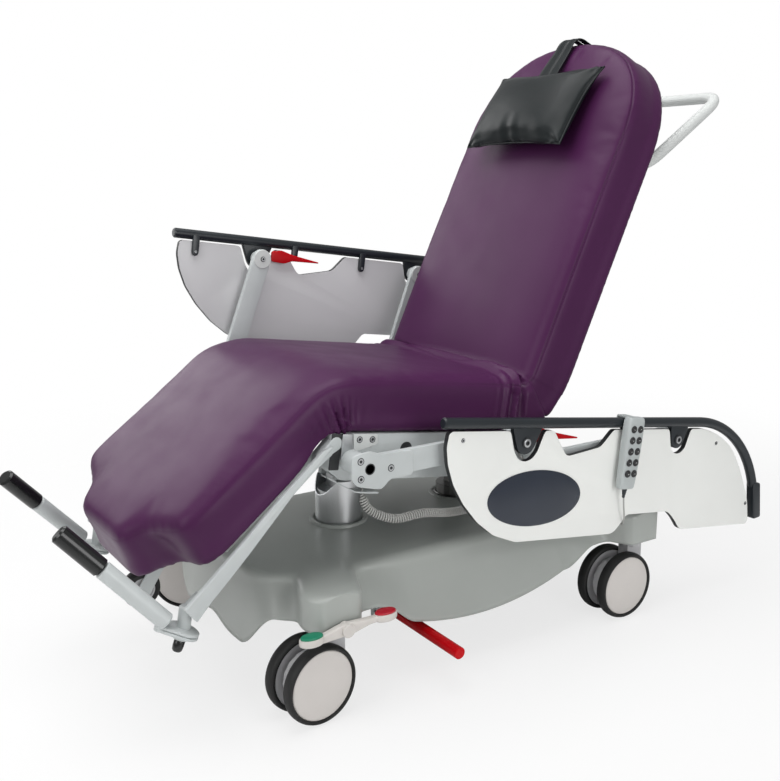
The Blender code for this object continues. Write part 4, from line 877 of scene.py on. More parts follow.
def pillow_plan(a, b):
    """Where (a, b), each from -1 to 1, lies in the pillow's plan.

    The sides draw in as 1 - k (1 - s^2), which points the corners, and one corner is pulled out.
    """
    x = PILLOW[0] / 2 * a * (1 - 0.035 * (1 - b**2))
    y = PILLOW[1] / 2 * b * (1 - 0.085 * (1 - a**2))
    return x + PILLOW_PULL * (np.clip(a, 0, 1) * np.clip(b, 0, 1)) ** 3, y


def make_pillow():
    """Two sheets over the sewn outline, apart by h ((1 - a^2)(1 - b^2))^0.45, blown up and pleated."""
    s = np.sin(np.linspace(-1, 1, 41) * math.pi / 2)
    a, b = np.meshgrid(s, s, indexing="ij")
    width, height, thick = PILLOW
    x, y = pillow_plan(a, b)
    gap = thick / 2 * ((1 - a**2) * (1 - b**2)) ** 0.45 + 0.003
    mesh = sewn_sheets("pillow", *[np.stack([x, y, z], axis=-1) for z in (gap, -gap * 0.85)])
    mesh = applied(mesh, ("REMESH", {"mode": "VOXEL", "voxel_size": PILLOW_VOXEL}))

    def loose(points):
        edge = np.maximum(np.abs(points[:, 0]) / (width / 2), np.abs(points[:, 1]) / (height / 2))
        return np.clip((0.97 - edge) / 0.25, 0, 1) * np.clip((points[:, 2] + 0.03) / 0.03, 0, 1)

    mesh = applied(mesh, ("SMOOTH", {"factor": 0.5, "iterations": 2}))
    mesh = puffed(mesh, 3.0, PILLOW_CAP, loose)
    mesh = applied(mesh, ("SMOOTH", {"factor": 0.5, "iterations": 6}), FINER)
    points = read_points(mesh)
    across, down = points[:, 0] / (width / 2), points[:, 1] / (height / 2)
    low = ramp(-down, 0.30, 0.45) * np.clip((1.0 - np.abs(down)) / 0.08, 0, 1)
    pleats = np.sin(across * 15.0 + 1.3 * np.sin(across * 6.0)) * (0.55 + 0.45 * np.sin(across * 9.0 + 2.0))
    corner = ramp(np.hypot(across, down), 0.95, 0.3)
    fan = np.sin(8.0 * np.arctan2(1.02 - np.abs(down), 1.02 - np.abs(across)))
    dents = 0.0022 * pleats * low + 0.0020 * fan * corner * (points[:, 2] > 0)
    points += read_points(mesh, "normal") * dents[:, None]
    write_points(mesh, pillow_frame(points))
    pillow = settle("head_pillow", mesh, [LEATHERETTE], "back_rest", ("pillow",), 60.0)
    s = np.linspace(-1, 1, 40, endpoint=False)
    one = np.ones(40)
    x, y = pillow_plan(np.concatenate([s, one, -s, -one]), np.concatenate([-one, s, one, -s]))
    loop = pillow_frame(np.stack([x, y, 0 * x], axis=1) * np.array([0.992, 0.985, 1.0]))
    piping = bar(np.concatenate([loop, loop[:1]]), 0.0022, heading(back, (0.0, 0.0, 1.0)), 8, 0)
    solid("pillow_piping", piping, LEATHERETTE, "back_rest", caps=False)


def make_strap():
    """Two gathered webs from the pillow's top edge, over the head end and down the back of the board."""
    top = HEAD_END + 0.002
    low = BACK_FRONT - BACK_THICK
    run = np.array([
        (0.719, 0.079), (0.735, 0.076), (top - 0.045, BACK_FRONT + 0.016), (top - 0.016, BACK_FRONT + 0.010),
        (top + 0.002, BACK_FRONT - 0.008), (top + 0.006, BACK_FRONT - 0.040), (top + 0.005, low + 0.018),
        (top - 0.004, low - 0.004), (top - 0.020, low - 0.011), (top - 0.055, BOARD_REAR - 0.0022),
        (top - 0.105, BOARD_REAR - 0.0022),
    ])
    count = 60
    path = smooth_path(np.insert(run, 0, 0.0, axis=1), count)
    share = np.linspace(0, 1, count)
    tangent = tangents(path)
    out = np.stack([np.zeros(count), tangent[:, 2], -tangent[:, 1]], axis=1)
    across = np.array([-1.0, -0.6, -0.2, 0.2, 0.6, 1.0])
    pucker = np.array([0.0, 0.0022, 0.0004, 0.0026, 0.0006, 0.0018])

    def gathered(size):
        return (size - 0.0045 * ramp(share, 0.0, 0.42) + 0.003 * ramp(share, 0.6, 0.4))[:, None]

    grids = []
    for way in (-1.0, 1.0):
        faces = [path[:, None] + out[:, None] * (pucker + lift)[None, :, None] for lift in (0.0014, -0.0004)]
        for face in faces:
            face[..., 0] = way * gathered(0.0150) + gathered(0.0140) * across
        grids.append(back(np.concatenate([faces[0], faces[1][:, ::-1]], axis=1)))
    solid("pillow_straps", grids, LEATHERETTE, "back_rest", ("pillow_strap",), sharp=60.0)


# Base


def soft_least(first, second, blend):
    """The lesser of two fields, with the step between them rounded over the blend."""
    share = np.clip(0.5 + 0.5 * (second - first) / blend, 0, 1)
    return second * (1 - share) + first * share - blend * share * (1 - share)


def hood_rays():
    """Where each of the hood's rays starts on its middle line, and its way.

    They run straight out along the sides and fan round both ends.
    """
    side = np.linspace(-1, 1, 160, endpoint=False)
    turn = np.linspace(0, math.pi, 160, endpoint=False)
    one = np.ones(160)
    start = HOOD_Y + HOOD_LINE * np.concatenate([side, one, -side, -one])
    angle = np.concatenate([0 * one, turn, math.pi * one, math.pi + turn])
    return start, np.cos(angle), np.sin(angle)


def hood_plan(start, way_x, way_y, lean, shrink):
    """The hood's plan at one level, as lengths along its rays.

    The skirt is a fifth-power oval that draws in from the rim to the top by lean. A round-ended arm
    reaches out over each castor, thinner by shrink. Each ray takes its last crossing of the shapes merged.
    """
    reach = np.linspace(0.08, 0.42, 341)[:, None]
    x, y = reach * way_x, start + reach * way_y - HOOD_Y
    half, front, rear = HOOD_RIM + lean * (HOOD_CAP - HOOD_RIM)
    size = (np.abs(x / half) ** 5 + np.abs(y / np.where(y < 0, HOOD_Y - front, rear - HOOD_Y)) ** 5) ** 0.2
    field = np.hypot(x, y) * (1 - 1 / size)
    for stem in STEM_Y:
        root_y = stem - math.copysign(HOOD_ARM[1], stem)
        arm = np.array([STEM_X - HOOD_ARM[0], stem - root_y])
        from_x, from_y = np.abs(x) - HOOD_ARM[0], y + HOOD_Y - root_y
        share = np.clip((from_x * arm[0] + from_y * arm[1]) / (arm @ arm), 0, 1)
        over = np.hypot(from_x - share * arm[0], from_y - share * arm[1]) - (HOOD_HOUSING - shrink)
        field = soft_least(field, over, HOOD_BLEND)
    last = np.minimum(len(reach) - 2, len(reach) - 1 - np.argmax(field[::-1] < 0, axis=0))
    column = np.arange(len(start))
    inside, outside = field[last, column], field[last + 1, column]
    return reach[last, 0] + (reach[1, 0] - reach[0, 0]) * np.clip(inside / (inside - outside), 0, 1)


def make_hood():
    """The base's moulded hood over (ray, climb), with a collar round each column.

    A skirt leans in from a wavy rim, which rises over the castors' housings, then come a rounded shoulder
    and a slightly crowned top.
    """
    start, way_x, way_y = hood_rays()
    turn = np.linspace(0, math.pi / 2, 10)[1:]
    climb = np.concatenate([np.linspace(0, 0.84, 13), 0.84 + 0.16 * np.sin(turn)])
    lean = np.concatenate([0.8 * climb[:13], 0.672 + 0.328 * (1 - np.cos(turn))])
    shrink = np.concatenate([np.zeros(13), 0.020 * (1 - np.cos(turn))])
    plan = np.array([hood_plan(start, way_x, way_y, *level) for level in zip(lean, shrink)])
    x, y = plan * way_x, start + plan * way_y
    away = np.minimum(*[np.hypot(np.abs(x[0]) - STEM_X, y[0] - stem) for stem in STEM_Y])
    waves = 0.80 * np.minimum(np.abs(y[0] - 0.02), 0.22) ** 2
    low = HOOD_LOW + np.where(y[0] > STEM_Y[0], waves, 0.018 * ridge(x[0], 0.05))
    rise = np.clip((0.195 - away) / 0.090, 0, 1)
    rim = low + (HOOD_OVER_CASTORS - low) * rise**2 * (3 - 2 * rise)
    z = rim + (HOOD_TOP - rim) * climb[:, None]
    inner = np.linspace(1, 0, 14)[1:, None]
    x = np.concatenate([x, inner * x[-1]])
    y = np.concatenate([y, start + inner * (y[-1] - start)])
    across, length = np.minimum(np.abs(x) / 0.30, 1), np.minimum(np.abs(y - HOOD_Y) / 0.52, 1)
    crown = (1 - across**2) ** 2 * (1 - length**2) ** 2
    z = np.concatenate([z, HOOD_TOP + 0.011 * crown[len(z):]])
    grid = np.stack([np.clip(x, -HOOD_HALF, HOOD_HALF), y, z], axis=-1)
    mesh = bpy.data.meshes.new("base_hood")
    mesh.from_pydata(grid.reshape(-1, 3).tolist(), [], ring_faces(*grid.shape[:2]).tolist())
    mesh = applied(mesh, ("WELD", {"merge_threshold": 0.00002}))
    hood = settle("base_hood", mesh, [HOOD_PLASTIC], "base", ("base_cover",), 70.0)
    wall = hood.modifiers.new("wall", "SOLIDIFY")
    wall.thickness = HOOD_WALL
    wall.offset = -1.0
    lip = [
        (0.0640, 0.2440), (0.0636, 0.2500), (0.0615, 0.2528), (0.0575, 0.2535), (0.0545, 0.2522),
        (0.0540, 0.2440),
    ]
    for name, at in COLUMNS.items():
        collar = turned_rings(lip, (0.0, at, 0.0), (0.0, 0.0, 1.0), 64)
        solid(name + "_column_lip", collar, HOOD_PLASTIC, "base", caps=False)


def make_columns():
    """Column tubes: circles from the floor of the base up, the front one cut off at a slant."""
    angle = around(64)
    wall = (
        (COLUMN_RADIUS, None), (COLUMN_RADIUS, 0.0015), (COLUMN_RADIUS - 0.0012, 0.0),
        (COLUMN_BORE + 0.0010, 0.0), (COLUMN_BORE, 0.0015), (COLUMN_BORE, None),
    )
    # The rear tube takes the dark copy of the steel as painted shade.
    tubes = (("front", COLUMN_TOP, 1.6, STEEL), ("rear", REAR_COLUMN_TOP, 0.0, SHADED_STEEL))
    for name, top, slope, look in tubes:
        edge = top - slope * np.maximum(0, -0.0287 - COLUMN_RADIUS * np.sin(angle))
        rings = []
        for radius, drop in wall:
            z = np.full(64, COLUMN_FOOT) if drop is None else edge - drop
            y = COLUMNS[name] + radius * np.sin(angle)
            rings.append(np.stack([radius * np.cos(angle), y, z], axis=1))
        tube = np.array(rings + rings[:1])
        solid(name + "_lift_column", tube, look, "base", (name + "_column",), caps=False)


def make_wheels():
    """Castor wheels: a profile from the hub's face out over the disc, round the tyre and back to the bore."""
    r, near, far = WHEEL_RADIUS, WHEEL_INNER, WHEEL_OUTER
    profile = [
        (0.0002, far - 0.0030), (0.020, far - 0.0030), (0.050, far - 0.0033), (0.0640, far - 0.0044),
        (0.0655, far - 0.0058), (0.0662, far - 0.0050), (0.0672, far - 0.0026), (0.0688, far - 0.0012),
        (0.0706, far - 0.0014), (0.0728, far - 0.0040), (0.0744, far - 0.0080), (r, far - 0.0125),
        (r, near + 0.0105), (0.0744, near + 0.0060), (0.0728, near + 0.0028), (0.0700, near + 0.0010),
        (0.0650, near + 0.0012), (0.0630, near + 0.0030), (0.0580, near + 0.0036), (0.0300, near + 0.0030),
        (0.0075, near + 0.0030),
    ]
    strips = [0] * 4 + [1] * 12 + [2] * 4
    looks = [DISC, RUBBER, HUB_PLASTIC]
    for name, (x, y, swivel) in CASTORS.items():
        c, s = cos_sin(swivel)
        hub = np.array([x + TRAIL * s, y - TRAIL * c, WHEEL_RADIUS])
        for wheel, way in SIDES.items():
            rings = turned_rings(profile, hub, (way * c, way * s, 0.0), 72)
            piece = "wheel_%s_%s" % (name, wheel)
            nodes = ("castor_%s_wheel_%s" % (name, wheel),)
            solid(piece, rings, looks, piece, nodes, strips, sharp=30.0)


def make_pedals():
    """The brake rocker, its two pads and hub, and the red foot lever."""
    pivot = (0.0, STEM_Y[0], 0.178)
    at = turned(pivot, 0.0)
    low, high = 0.334, 0.350
    middle = (low + high) / 2
    outline = [
        (-0.080, -0.010), (-0.050, -0.012), (-0.010, -0.011), (0.012, -0.010), (0.050, -0.001),
        (0.098, -0.001), (0.098, 0.010), (0.046, 0.010), (0.012, 0.012), (-0.010, 0.012), (-0.050, 0.002),
        (-0.080, 0.002),
    ]
    rocker = plate(at, outline, 1.0, low + 0.001, high - 0.001, 0.0028, 0.008)
    angle = around(rocker.shape[1])

    def oval(along, long, wide, top, levels):
        """Ovals stacked up the z axis: (scale, height over the top) each."""
        levels = np.asarray(levels)
        ring = np.stack([middle + wide * np.cos(angle), along + long * np.sin(angle), 0 * angle], axis=1)
        centre = np.array([middle, along, 0.0])
        rings = centre + (ring - centre)[None] * levels[:, 0, None, None]
        rings[..., 2] = top + levels[:, 1, None]
        return at(rings)

    pads = (("green", -0.070, 0.002, GREEN), ("red", 0.084, 0.010, RED_PAD))
    cup = [(0.86, -0.0125), (0.96, -0.011), (1, -0.008), (1, -0.001), (0.97, 0.0006), (0.93, 0.0010)]
    cups = [oval(along, 0.024, 0.0150, top, cup) for _, along, top, _ in pads]
    hub = [
        (0.0001, low - 0.0006), (0.0125, low - 0.0006), (0.0125, high + 0.0030), (0.0115, high + 0.0042),
        (0.0040, high + 0.0045), (0.0001, high + 0.0045),
    ]
    hub = turned_rings(hub, pivot, (1.0, 0.0, 0.0), 32)
    solid("brake_rocker", rocker, PEDAL_PLASTIC, "brake", ("brake_pedal",))
    solid("brake_cups", cups, PEDAL_PLASTIC, "brake")
    solid("brake_hub", hub, PEDAL_PLASTIC, "brake", caps=False)
    for name, along, top, look in pads:
        levels = [(1, 0.0012), (1, 0.0034), (0.95, 0.0046), (0.80, 0.0052)]
        pad = oval(along, 0.0215, 0.0128, top, levels)
        solid(name + "_foot_pad", pad, look, "brake", ("brake_pad_" + name,))
    root, end = np.array([0.142, -0.122, 0.088]), np.array([0.385, -0.120, 0.084])
    lever = bar(np.linspace(root + [0.004, 0, 0], end, 24), 0.0120, (0.0, 0.0, 1.0), 28, 0.10)
    knuckle = [(0.0005, -0.0232), (0.013, -0.0232), (0.013, 0.0232), (0.0005, 0.0232)]
    knuckle = turned_rings(knuckle, root, (0.0, 1.0, 0.0), 28)
    solid("red_foot_lever", [lever, knuckle], RED, "red_lever", ("foot_lever",))


# Armrests


def panel_outline():
    """The side panel's corners in the rail's frame, and their radii.

    They run round the front, along the stepped foot, up the rear, then along the top, where the hand window
    lies between two bracket notches.
    """
    front = [
        (-0.185, 0.024), (-0.1915, 0.019), (-0.194, -0.006), (-0.186, -0.040), (-0.168, -0.078),
        (-0.139, -0.116), (-0.100, -0.153), (-0.055, -0.182), (0.005, -0.200),
    ]
    foot = [
        (0.280, -0.202), (0.302, -0.178), (0.314, -0.162), (0.446, -0.162), (0.470, -0.180), (0.496, -0.207),
    ]
    rear = [
        (0.736, -0.209), (0.742, -0.200), (0.729, -0.150), (0.681, -0.072), (0.639, -0.023), (0.592, 0.006),
        (0.532, 0.024),
    ]
    second = [(0.484, 0.024), (0.472, -0.016), *arc((0.448, -0.006), 0.026, -30, -150, 5), (0.412, 0.024)]
    window = [(0.239, 0.024), (0.206, -0.012), (0.113, -0.030), (0.070, 0.024)]
    first = [(0.046, 0.024), (0.032, -0.016), *arc((0.002, -0.006), 0.032, -20, -160, 5), (-0.044, 0.024)]
    notch = [0.008, 0.012] + [0.008] * 6
    radii = [0.008] * 9 + [0.02] + [0.012] * 5 + [0.006, 0.008] + [0.03] * 5
    radii += notch + [0.006, 0.010, 0.012, 0.010] + notch
    return front + foot + rear + second + window + first, np.array(radii)


def rail_path(centre):
    """The rail's centre line: straight, then an arc down behind the panel."""
    straight = [(y, RAIL_HEIGHT) for y in (-0.205, -0.10, 0.05, 0.20, 0.36, 0.50)]
    flat = np.array(straight + arc((0.515, RAIL_HEIGHT - 0.250), 0.250, 86, 22, 12))
    return smooth_path(np.insert(flat, 0, centre, axis=1), 70)


def make_armrest(name):
    """Rail, brackets, clips, bumper, panel, release lever and the two swing arms of one side."""
    side, carry, out, body = SIDES[name], rail[name], outward[name], "armrest_" + name
    inner, outer = PANEL_X, PANEL_X + PANEL_THICK
    path = rail_path(side * (PANEL_X + PANEL_THICK / 2))
    grids = [carry(bar(path, RAIL_TUBE, (1.0, 0.0, 0.0), 24, 0.25))]
    for y, before, after, radius in ((0.0, 0.040, 0.040, 0.024), (ARM_SPACING, 0.028, 0.032, 0.020)):
        bracket = [
            (y - before, RAIL_HEIGHT), (y - before * 0.92, RAIL_HEIGHT - 0.012),
            *arc((y, 0.0), radius, 200, 340, 7), (y + after * 0.92, RAIL_HEIGHT - 0.012),
            (y + after, RAIL_HEIGHT),
        ]
        grids.append(plate(carry, bracket, side, inner + 0.0005, outer - 0.0005, 0.0015, 0.006, 4))
    clips = ((-0.155, -1.0), (0.285, -1.0)) if side > 0 else ((-0.155, -1.0), (0.095, 0.014), (0.285, -1.0))
    for y, least in clips:
        clip = [
            (y - 0.008, RAIL_HEIGHT), (y - 0.0075, 0.002), *arc((y, -0.001), 0.0072, 200, 340, 5),
            (y + 0.0075, 0.002), (y + 0.008, RAIL_HEIGHT),
        ]
        clip = [(along, max(up, least)) for along, up in clip]
        grids.append(plate(carry, clip, side, inner - 0.0085, inner - 0.0006, 0.0012, 0.003, 3))
    _, y, z = path[-1]
    bumper = [(y - 0.012, z + 0.010), (y + 0.014, z + 0.010), (y + 0.036, z - 0.075), (y + 0.010, z - 0.080)]
    grids.append(plate(carry, bumper, side, inner - 0.004, outer + 0.006, 0.003, 0.006))
    solid("arm_rail_" + name, grids, BLACK, body, ("rail_" + name,))

    corners, radii = panel_outline()
    board = plate(carry, corners, side, inner, outer, 0.0010, radii, 6)
    strips = [2, 2, 1, 1, 1, 0, 0][:: int(side)]
    looks = [LAMINATE, CORE_AND_SHADE, GREY_INNER_FACE]
    solid("side_panel_" + name, board, looks, body, ("panel_" + name,), strips)

    face = side * outer
    spots = [carry((face, y, z)) for y, z in ((-0.158, 0.007), (0.578, -0.010), (0.722, -0.158))]
    screw_heads("panel_screws_" + name, spots, out, 0.0042, 0.0012, body)
    spots = [carry((side * (inner - 0.0085), y, 0.001)) for y in (-0.155, 0.285)]
    screw_heads("clip_screws_" + name, spots, -out, 0.0034, 0.0010, body)
    spots = [carry((side * (outer - 0.0005), y, 0.0)) for y in (0.0, ARM_SPACING)]
    screw_heads("pivot_bolts_" + name, spots, out, 0.0105, 0.0040, body)
    if side > 0:
        turn = around(72)
        oval = np.stack([0.042 + 0.123 * np.cos(turn), -0.112 + 0.057 * np.sin(turn)], axis=1)
        solid("blank_plaque", plate(carry, oval, side, outer + 0.0001, outer + 0.0013, 0.0006), BADGE, body)

    lever = [
        (-0.030, 0.014), (-0.002, 0.018), (0.026, 0.010), (0.098, -0.001), (0.098, -0.004), (0.026, -0.005),
        (0.006, -0.012), (-0.028, -0.010),
    ]
    at = turned(carry((0.0, *LEVER_PIN)), SEAT_TILT)
    blade = plate(at, lever, side, inner - 0.0135, inner - 0.0090, 0.0016, 0.006)
    pin = [(0.0002, -0.0003), (0.0058, -0.0003), (0.0058, 0.0108), (0.0002, 0.0108)]
    pin = turned_rings(pin, at((side * (inner - 0.0112), 0.0, 0.0)), out, 20)
    nodes = ("release_lever_" + name,)
    solid("release_blade_" + name, [blade, pin], RED, "release_" + name, nodes)
    make_arms(name)


def make_arms(name):
    """Swing arms: long flat bars with round ends, turned bosses, and a screwed hub plate on the front one."""
    side, out = SIDES[name], outward[name]
    half = ARM_WIDTH / 2
    inner, outer = PANEL_X - 0.0005, PANEL_X + PANEL_THICK - 0.001
    shank = arc((0, 0), half, 90, 270, 20) + arc((ARM_LENGTH, 0), half, -90, 90, 20)
    boss = [
        (0.0003, 0.243), (0.010, 0.243), (0.010, 0.2626), (0.021, 0.2626), (0.021, ARM_X + 0.001),
        (0.0003, ARM_X + 0.001),
    ]
    stud = [
        (0.0003, ARM_X + 0.010), (0.0165, ARM_X + 0.010), (0.0165, inner), (0.0078, inner), (0.0078, outer),
        (0.0003, outer),
    ]
    wide, narrow = half * 0.97, half * 0.93
    cap = [(0.0003, 0.0), (wide, 0.0), (wide, -0.0012), (narrow, -0.0020), (0.0003, -0.0024)]
    for spot, carry in (("front", arm[name]), ("rear", rear_arm[name])):
        body, label = "arm_%s_%s" % (spot, name), "%s_%s" % (name, spot)
        grids = [
            plate(carry, shank, side, ARM_X, ARM_X + ARM_THICK, 0.0016),
            turned_rings(boss, carry((0.0, 0.0, 0.0)), out, 32),
            turned_rings(stud, carry((0.0, ARM_LENGTH, 0.0)), out, 32),
        ]
        solid("swing_arm_" + label, grids, GREY_PAINT, body, ("arm_" + label,))
        disc = turned_rings(cap, carry((side * ARM_X, ARM_LENGTH, 0.0)), out, 40)
        solid("arm_disc_" + label, disc, PALE_PAINT, body, caps=False)
        bolt = carry((side * (ARM_X - 0.0020), ARM_LENGTH, 0.0))
        screw_heads("arm_bolt_" + label, [bolt], -out, 0.0060, 0.0030, body)
        if spot == "front":
            make_hub(name, carry, body)


def make_hub(name, carry, body):
    """The front arm's hub: a screwed plate whose bore is a dark disc of painted shade, and on the left the
    cord's grommet.
    """
    side, out = SIDES[name], outward[name]
    low, high = ARM_X + ARM_THICK - 0.001, ARM_X + ARM_THICK + 0.005
    hub = [
        (-0.0370, 0.0260), (-0.0260, 0.0300), (0.0010, 0.0325), (0.0240, 0.0240), (0.0920, 0.0205),
        (0.0920, -0.0260), (0.0440, -0.0255), (0.0250, -0.0410), (0.0130, -0.0395), (-0.0260, -0.0285),
        (-0.0370, -0.0170),
    ]
    sheet = plate(carry, hub, side, low, high, 0.0010, 0.006, 6)
    solid("hub_plate_" + name, sheet, GREY_PAINT, body)
    face = side * high
    spots = [carry((face, y, z)) for y, z in ((-0.0193, 0.0170), (0.0443, -0.0050), (-0.0193, -0.0155))]
    screw_heads("hub_screws_" + name, spots, out, 0.0068, 0.0008, body)
    # The bore is a thin dark disc on the plate's face: painted shade.
    bore = [(0.0003, 0.0002), (0.0085, 0.0002), (0.0100, 0.0008), (0.0105, 0.0002)]
    dark = turned_rings(bore, carry((face, 0.0, 0.0)), out, 32)
    solid("hub_bore_shade_" + name, dark, CORE_AND_SHADE, body)
    if side > 0:
        top = ARM_X + 0.001
        grommet = [(0.0003, 0.297), (0.0085, 0.297), (0.0090, 0.300), (0.0090, top), (0.0003, top)]
        grommet = turned_rings(grommet, carry((0.0, ARM_LENGTH, 0.0)), out, 24)
        solid("cord_grommet", grommet, BLACK, body)


# Seat frame


def make_beams():
    """Side beams: a bevelled box girder whose round hole is a dark disc of painted shade, and the plates
    screwed or bent onto it.
    """
    girder = [
        (-0.185, 0.065), (-0.155, 0.045), (0.302, 0.045), (0.332, 0.065), (0.332, 0.1335), (-0.185, 0.1335),
    ]
    girder_radii = [0.006, 0.01, 0.01, 0.006, 0.003, 0.003]
    bracket = [(-0.1410, 0.1330), (-0.1360, 0.0990), (-0.0850, 0.1140), (-0.0880, 0.1330)]
    hole = [(0.0003, 0.0002), (0.0115, 0.0002), (0.0130, 0.0007), (0.0136, 0.0001)]
    strip = [(-0.1645, 0.1335), (-0.1640, 0.0865), (-0.1400, 0.0875), (-0.1430, 0.1335)]
    knee_gap = [(-0.1850, 0.1335), (-0.1850, 0.0660), (-0.1640, 0.0660), (-0.1640, 0.1335)]
    bend = [
        (-0.0700, 0.0200), (-0.1000, 0.0215), (-0.1200, 0.0235), (-0.1500, 0.0370), (-0.1820, 0.0520),
    ]
    tray = bend + [(y, z - 0.0025) for y, z in bend[::-1]]
    for name, side in SIDES.items():
        out = outward[name]

        def add(piece, shape, look, nodes=()):
            solid(piece + name, shape, look, "seat", nodes)

        beam = plate(seat, girder, side, 0.232, 0.262, 0.0020, girder_radii)
        add("seat_girder_", beam, GREY_PAINT, nodes=("seat_beam_" + name,))
        add("girder_bracket_", plate(seat, bracket, side, 0.262, 0.2645, 0.0008, 0.004, 4), PALE_PAINT)
        spots = [seat((side * 0.2645, y, 0.1225)) for y in (-0.1265, -0.0985)]
        screw_heads("girder_screws_" + name, spots, out, 0.0062, 0.0010, "seat")
        # The hole is a thin dark disc on the girder's face: painted shade.
        dark = turned_rings(hole, seat((side * 0.262, -0.0185, 0.1030)), out, 32)
        add("girder_hole_shade_", dark, CORE_AND_SHADE)
        add("knee_hinge_strip_", plate(seat, strip, side, 0.2622, 0.2668, 0.0008, 0.002, 4), BOLT)
        # A thin dark sheet at the girder's knee end: painted shade for the gap at the knee hinge.
        gap_sheet = plate(seat, knee_gap, side, 0.2615, 0.2630, 0.0004, 0.002, 4)
        add("knee_gap_shade_", gap_sheet, CORE_AND_SHADE)
        add("girder_tray_", plate(seat, tray, side, 0.2340, 0.2610, 0.0004), GREY_PAINT)


# Leg rest


def make_handles():
    """Foot handles: a bent-in tube with a web to its swivel plate, a grip with a domed end, and a plunger."""
    axis = heading(leg, FLANGE_AXIS)
    plane = (1.0, 0.0, 0.0)
    swivel = [(0.0145, 0.0010), (0.0145, 0.0125), (0.0130, 0.0143), (0.0003, 0.0143)]
    knob = [
        (0.0060, 0.0148), (0.0085, 0.0152), (0.0098, 0.0180), (0.0098, 0.0260), (0.0088, 0.0335),
        (0.0066, 0.0362), (0.0003, 0.0368),
    ]
    for name, side in SIDES.items():
        flip = np.array([side, 1.0, 1.0])
        centre, lean, body = np.array(FLANGE) * flip, HANDLE_LEAN * flip, "handle_" + name
        foot = centre + FLANGE_UP * HANDLE_FOOT[0] + FLANGE_AXIS * HANDLE_FOOT[1]
        top = foot + lean * (HANDLE_LENGTH - GRIP_LENGTH)
        web = centre + FLANGE_UP * 0.044 + FLANGE_AXIS * 0.0053
        grids = [
            leg(bar(np.linspace(foot - lean * 0.012, top, 20), HANDLE_RADIUS, plane, 32, 0.15)),
            leg(bar(np.linspace(web, foot, 8), 0.009, plane, 16, 0.2)),
            leg(flange_plate(centre, 0.0003, 0.0063)),
            turned_rings(swivel, leg(centre), axis, 32),
        ]
        solid("foot_handle_" + name, grids, GREY_PAINT, body, ("handle_tube_" + name,))
        grip = np.linspace(top + lean * 0.0004, top + lean * GRIP_LENGTH, 30)
        rings = leg(bar(grip, HANDLE_RADIUS + 0.0008, plane, 32, 0.22))
        solid("hand_grip_" + name, rings, GLOSS_BLACK, body, ("handle_grip_" + name,))
        spots = [leg(centre + FLANGE_AXIS * 0.0063 + np.array([way * 0.0235, 0, 0])) for way in (-1, 1)]
        screw_heads("flange_screws_" + name, spots, axis, 0.0055, 0.0016, body)
        rings = turned_rings(knob, leg(centre), axis, 32)
        nodes = ("handle_plunger_" + name,)
        solid("plunger_knob_" + name, rings, GLOSS_BLACK, "plunger_" + name, nodes)


def flange_plate(centre, low, high):
    """A swivel plate: an oval in the plane square to the flange's axis, carried from low to high along it."""
    angle = around(48)[:, None]
    oval = 0.0360 * np.cos(angle) * np.array([1.0, 0, 0]) + 0.0262 * np.sin(angle) * FLANGE_UP
    oval = oval + ridge(angle - math.pi / 2, 0.5) * FLANGE_UP * 0.022
    levels = np.array([(0.94, low), (1.0, low + 0.0012), (1.0, high - 0.0012), (0.94, high)])
    return centre + oval[None] * levels[:, 0, None, None] + levels[:, 1, None, None] * FLANGE_AXIS


def make_leg_frame():
    """The leg rest's frame: side rails that deepen towards the foot, a board between them, and the lug.

    At each foot corner stand a shelf, a web and a swivel plate.
    """
    rail_side = [
        (-0.009, 0.0058), (-0.030, 0.0135), (-0.136, 0.0120), (-0.230, 0.0065), (-0.300, 0.0030),
        (-0.388, -0.0015), (-0.388, -0.0350), (-0.349, -0.0290), (-0.2985, -0.0245), (-0.246, -0.0190),
        (-0.196, -0.0125), (-0.119, -0.0025), (-0.062, -0.0015), (-0.020, -0.0050),
    ]
    board = [(-0.270, -0.003), (-0.034, -0.003), (-0.034, 0.0110), (-0.270, 0.0110)]
    shelf = [(-0.3870, -0.0300), (-0.3500, -0.0300), (-0.3500, -0.0180), (-0.3870, -0.0180)]
    lug = [(-0.050, -0.002), (-0.075, -0.002), (-0.040, -0.082), (-0.020, -0.082), (-0.020, -0.066)]
    ear = arc((0.0, 0.0), 0.0125, -100, 100, 12) + [(-0.040, 0.0095), (-0.052, -0.0020), (-0.030, -0.0060)]
    grids = [
        plate(leg, board, 1.0, -0.2400, 0.2400, 0.0020, 0.004),
        plate(leg, lug, 1.0, -0.1265, -0.1185, 0.0010, 0.006),
    ]
    for side in SIDES.values():
        centre = np.array(FLANGE) * np.array([side, 1.0, 1.0])
        start = centre - FLANGE_AXIS * 0.040 + np.array([0.0, 0.0, 0.010])
        grids += [
            plate(leg, rail_side, side, 0.2623, 0.2723, 0.0016, 0.003, 4),
            plate(leg, ear, side, 0.2380, 0.2640, 0.0008),
            plate(leg, shelf, side, 0.2250, 0.2715, 0.0012, 0.003),
            leg(bar(np.linspace(start, centre - FLANGE_AXIS * 0.003, 8), 0.012, (1.0, 0.0, 0.0), 24, 0.2)),
            leg(flange_plate(centre, -0.0060, -0.0001)),
        ]
    solid("leg_rest_frame", grids, GREY_PAINT, "leg_rest", ("leg_frame",))


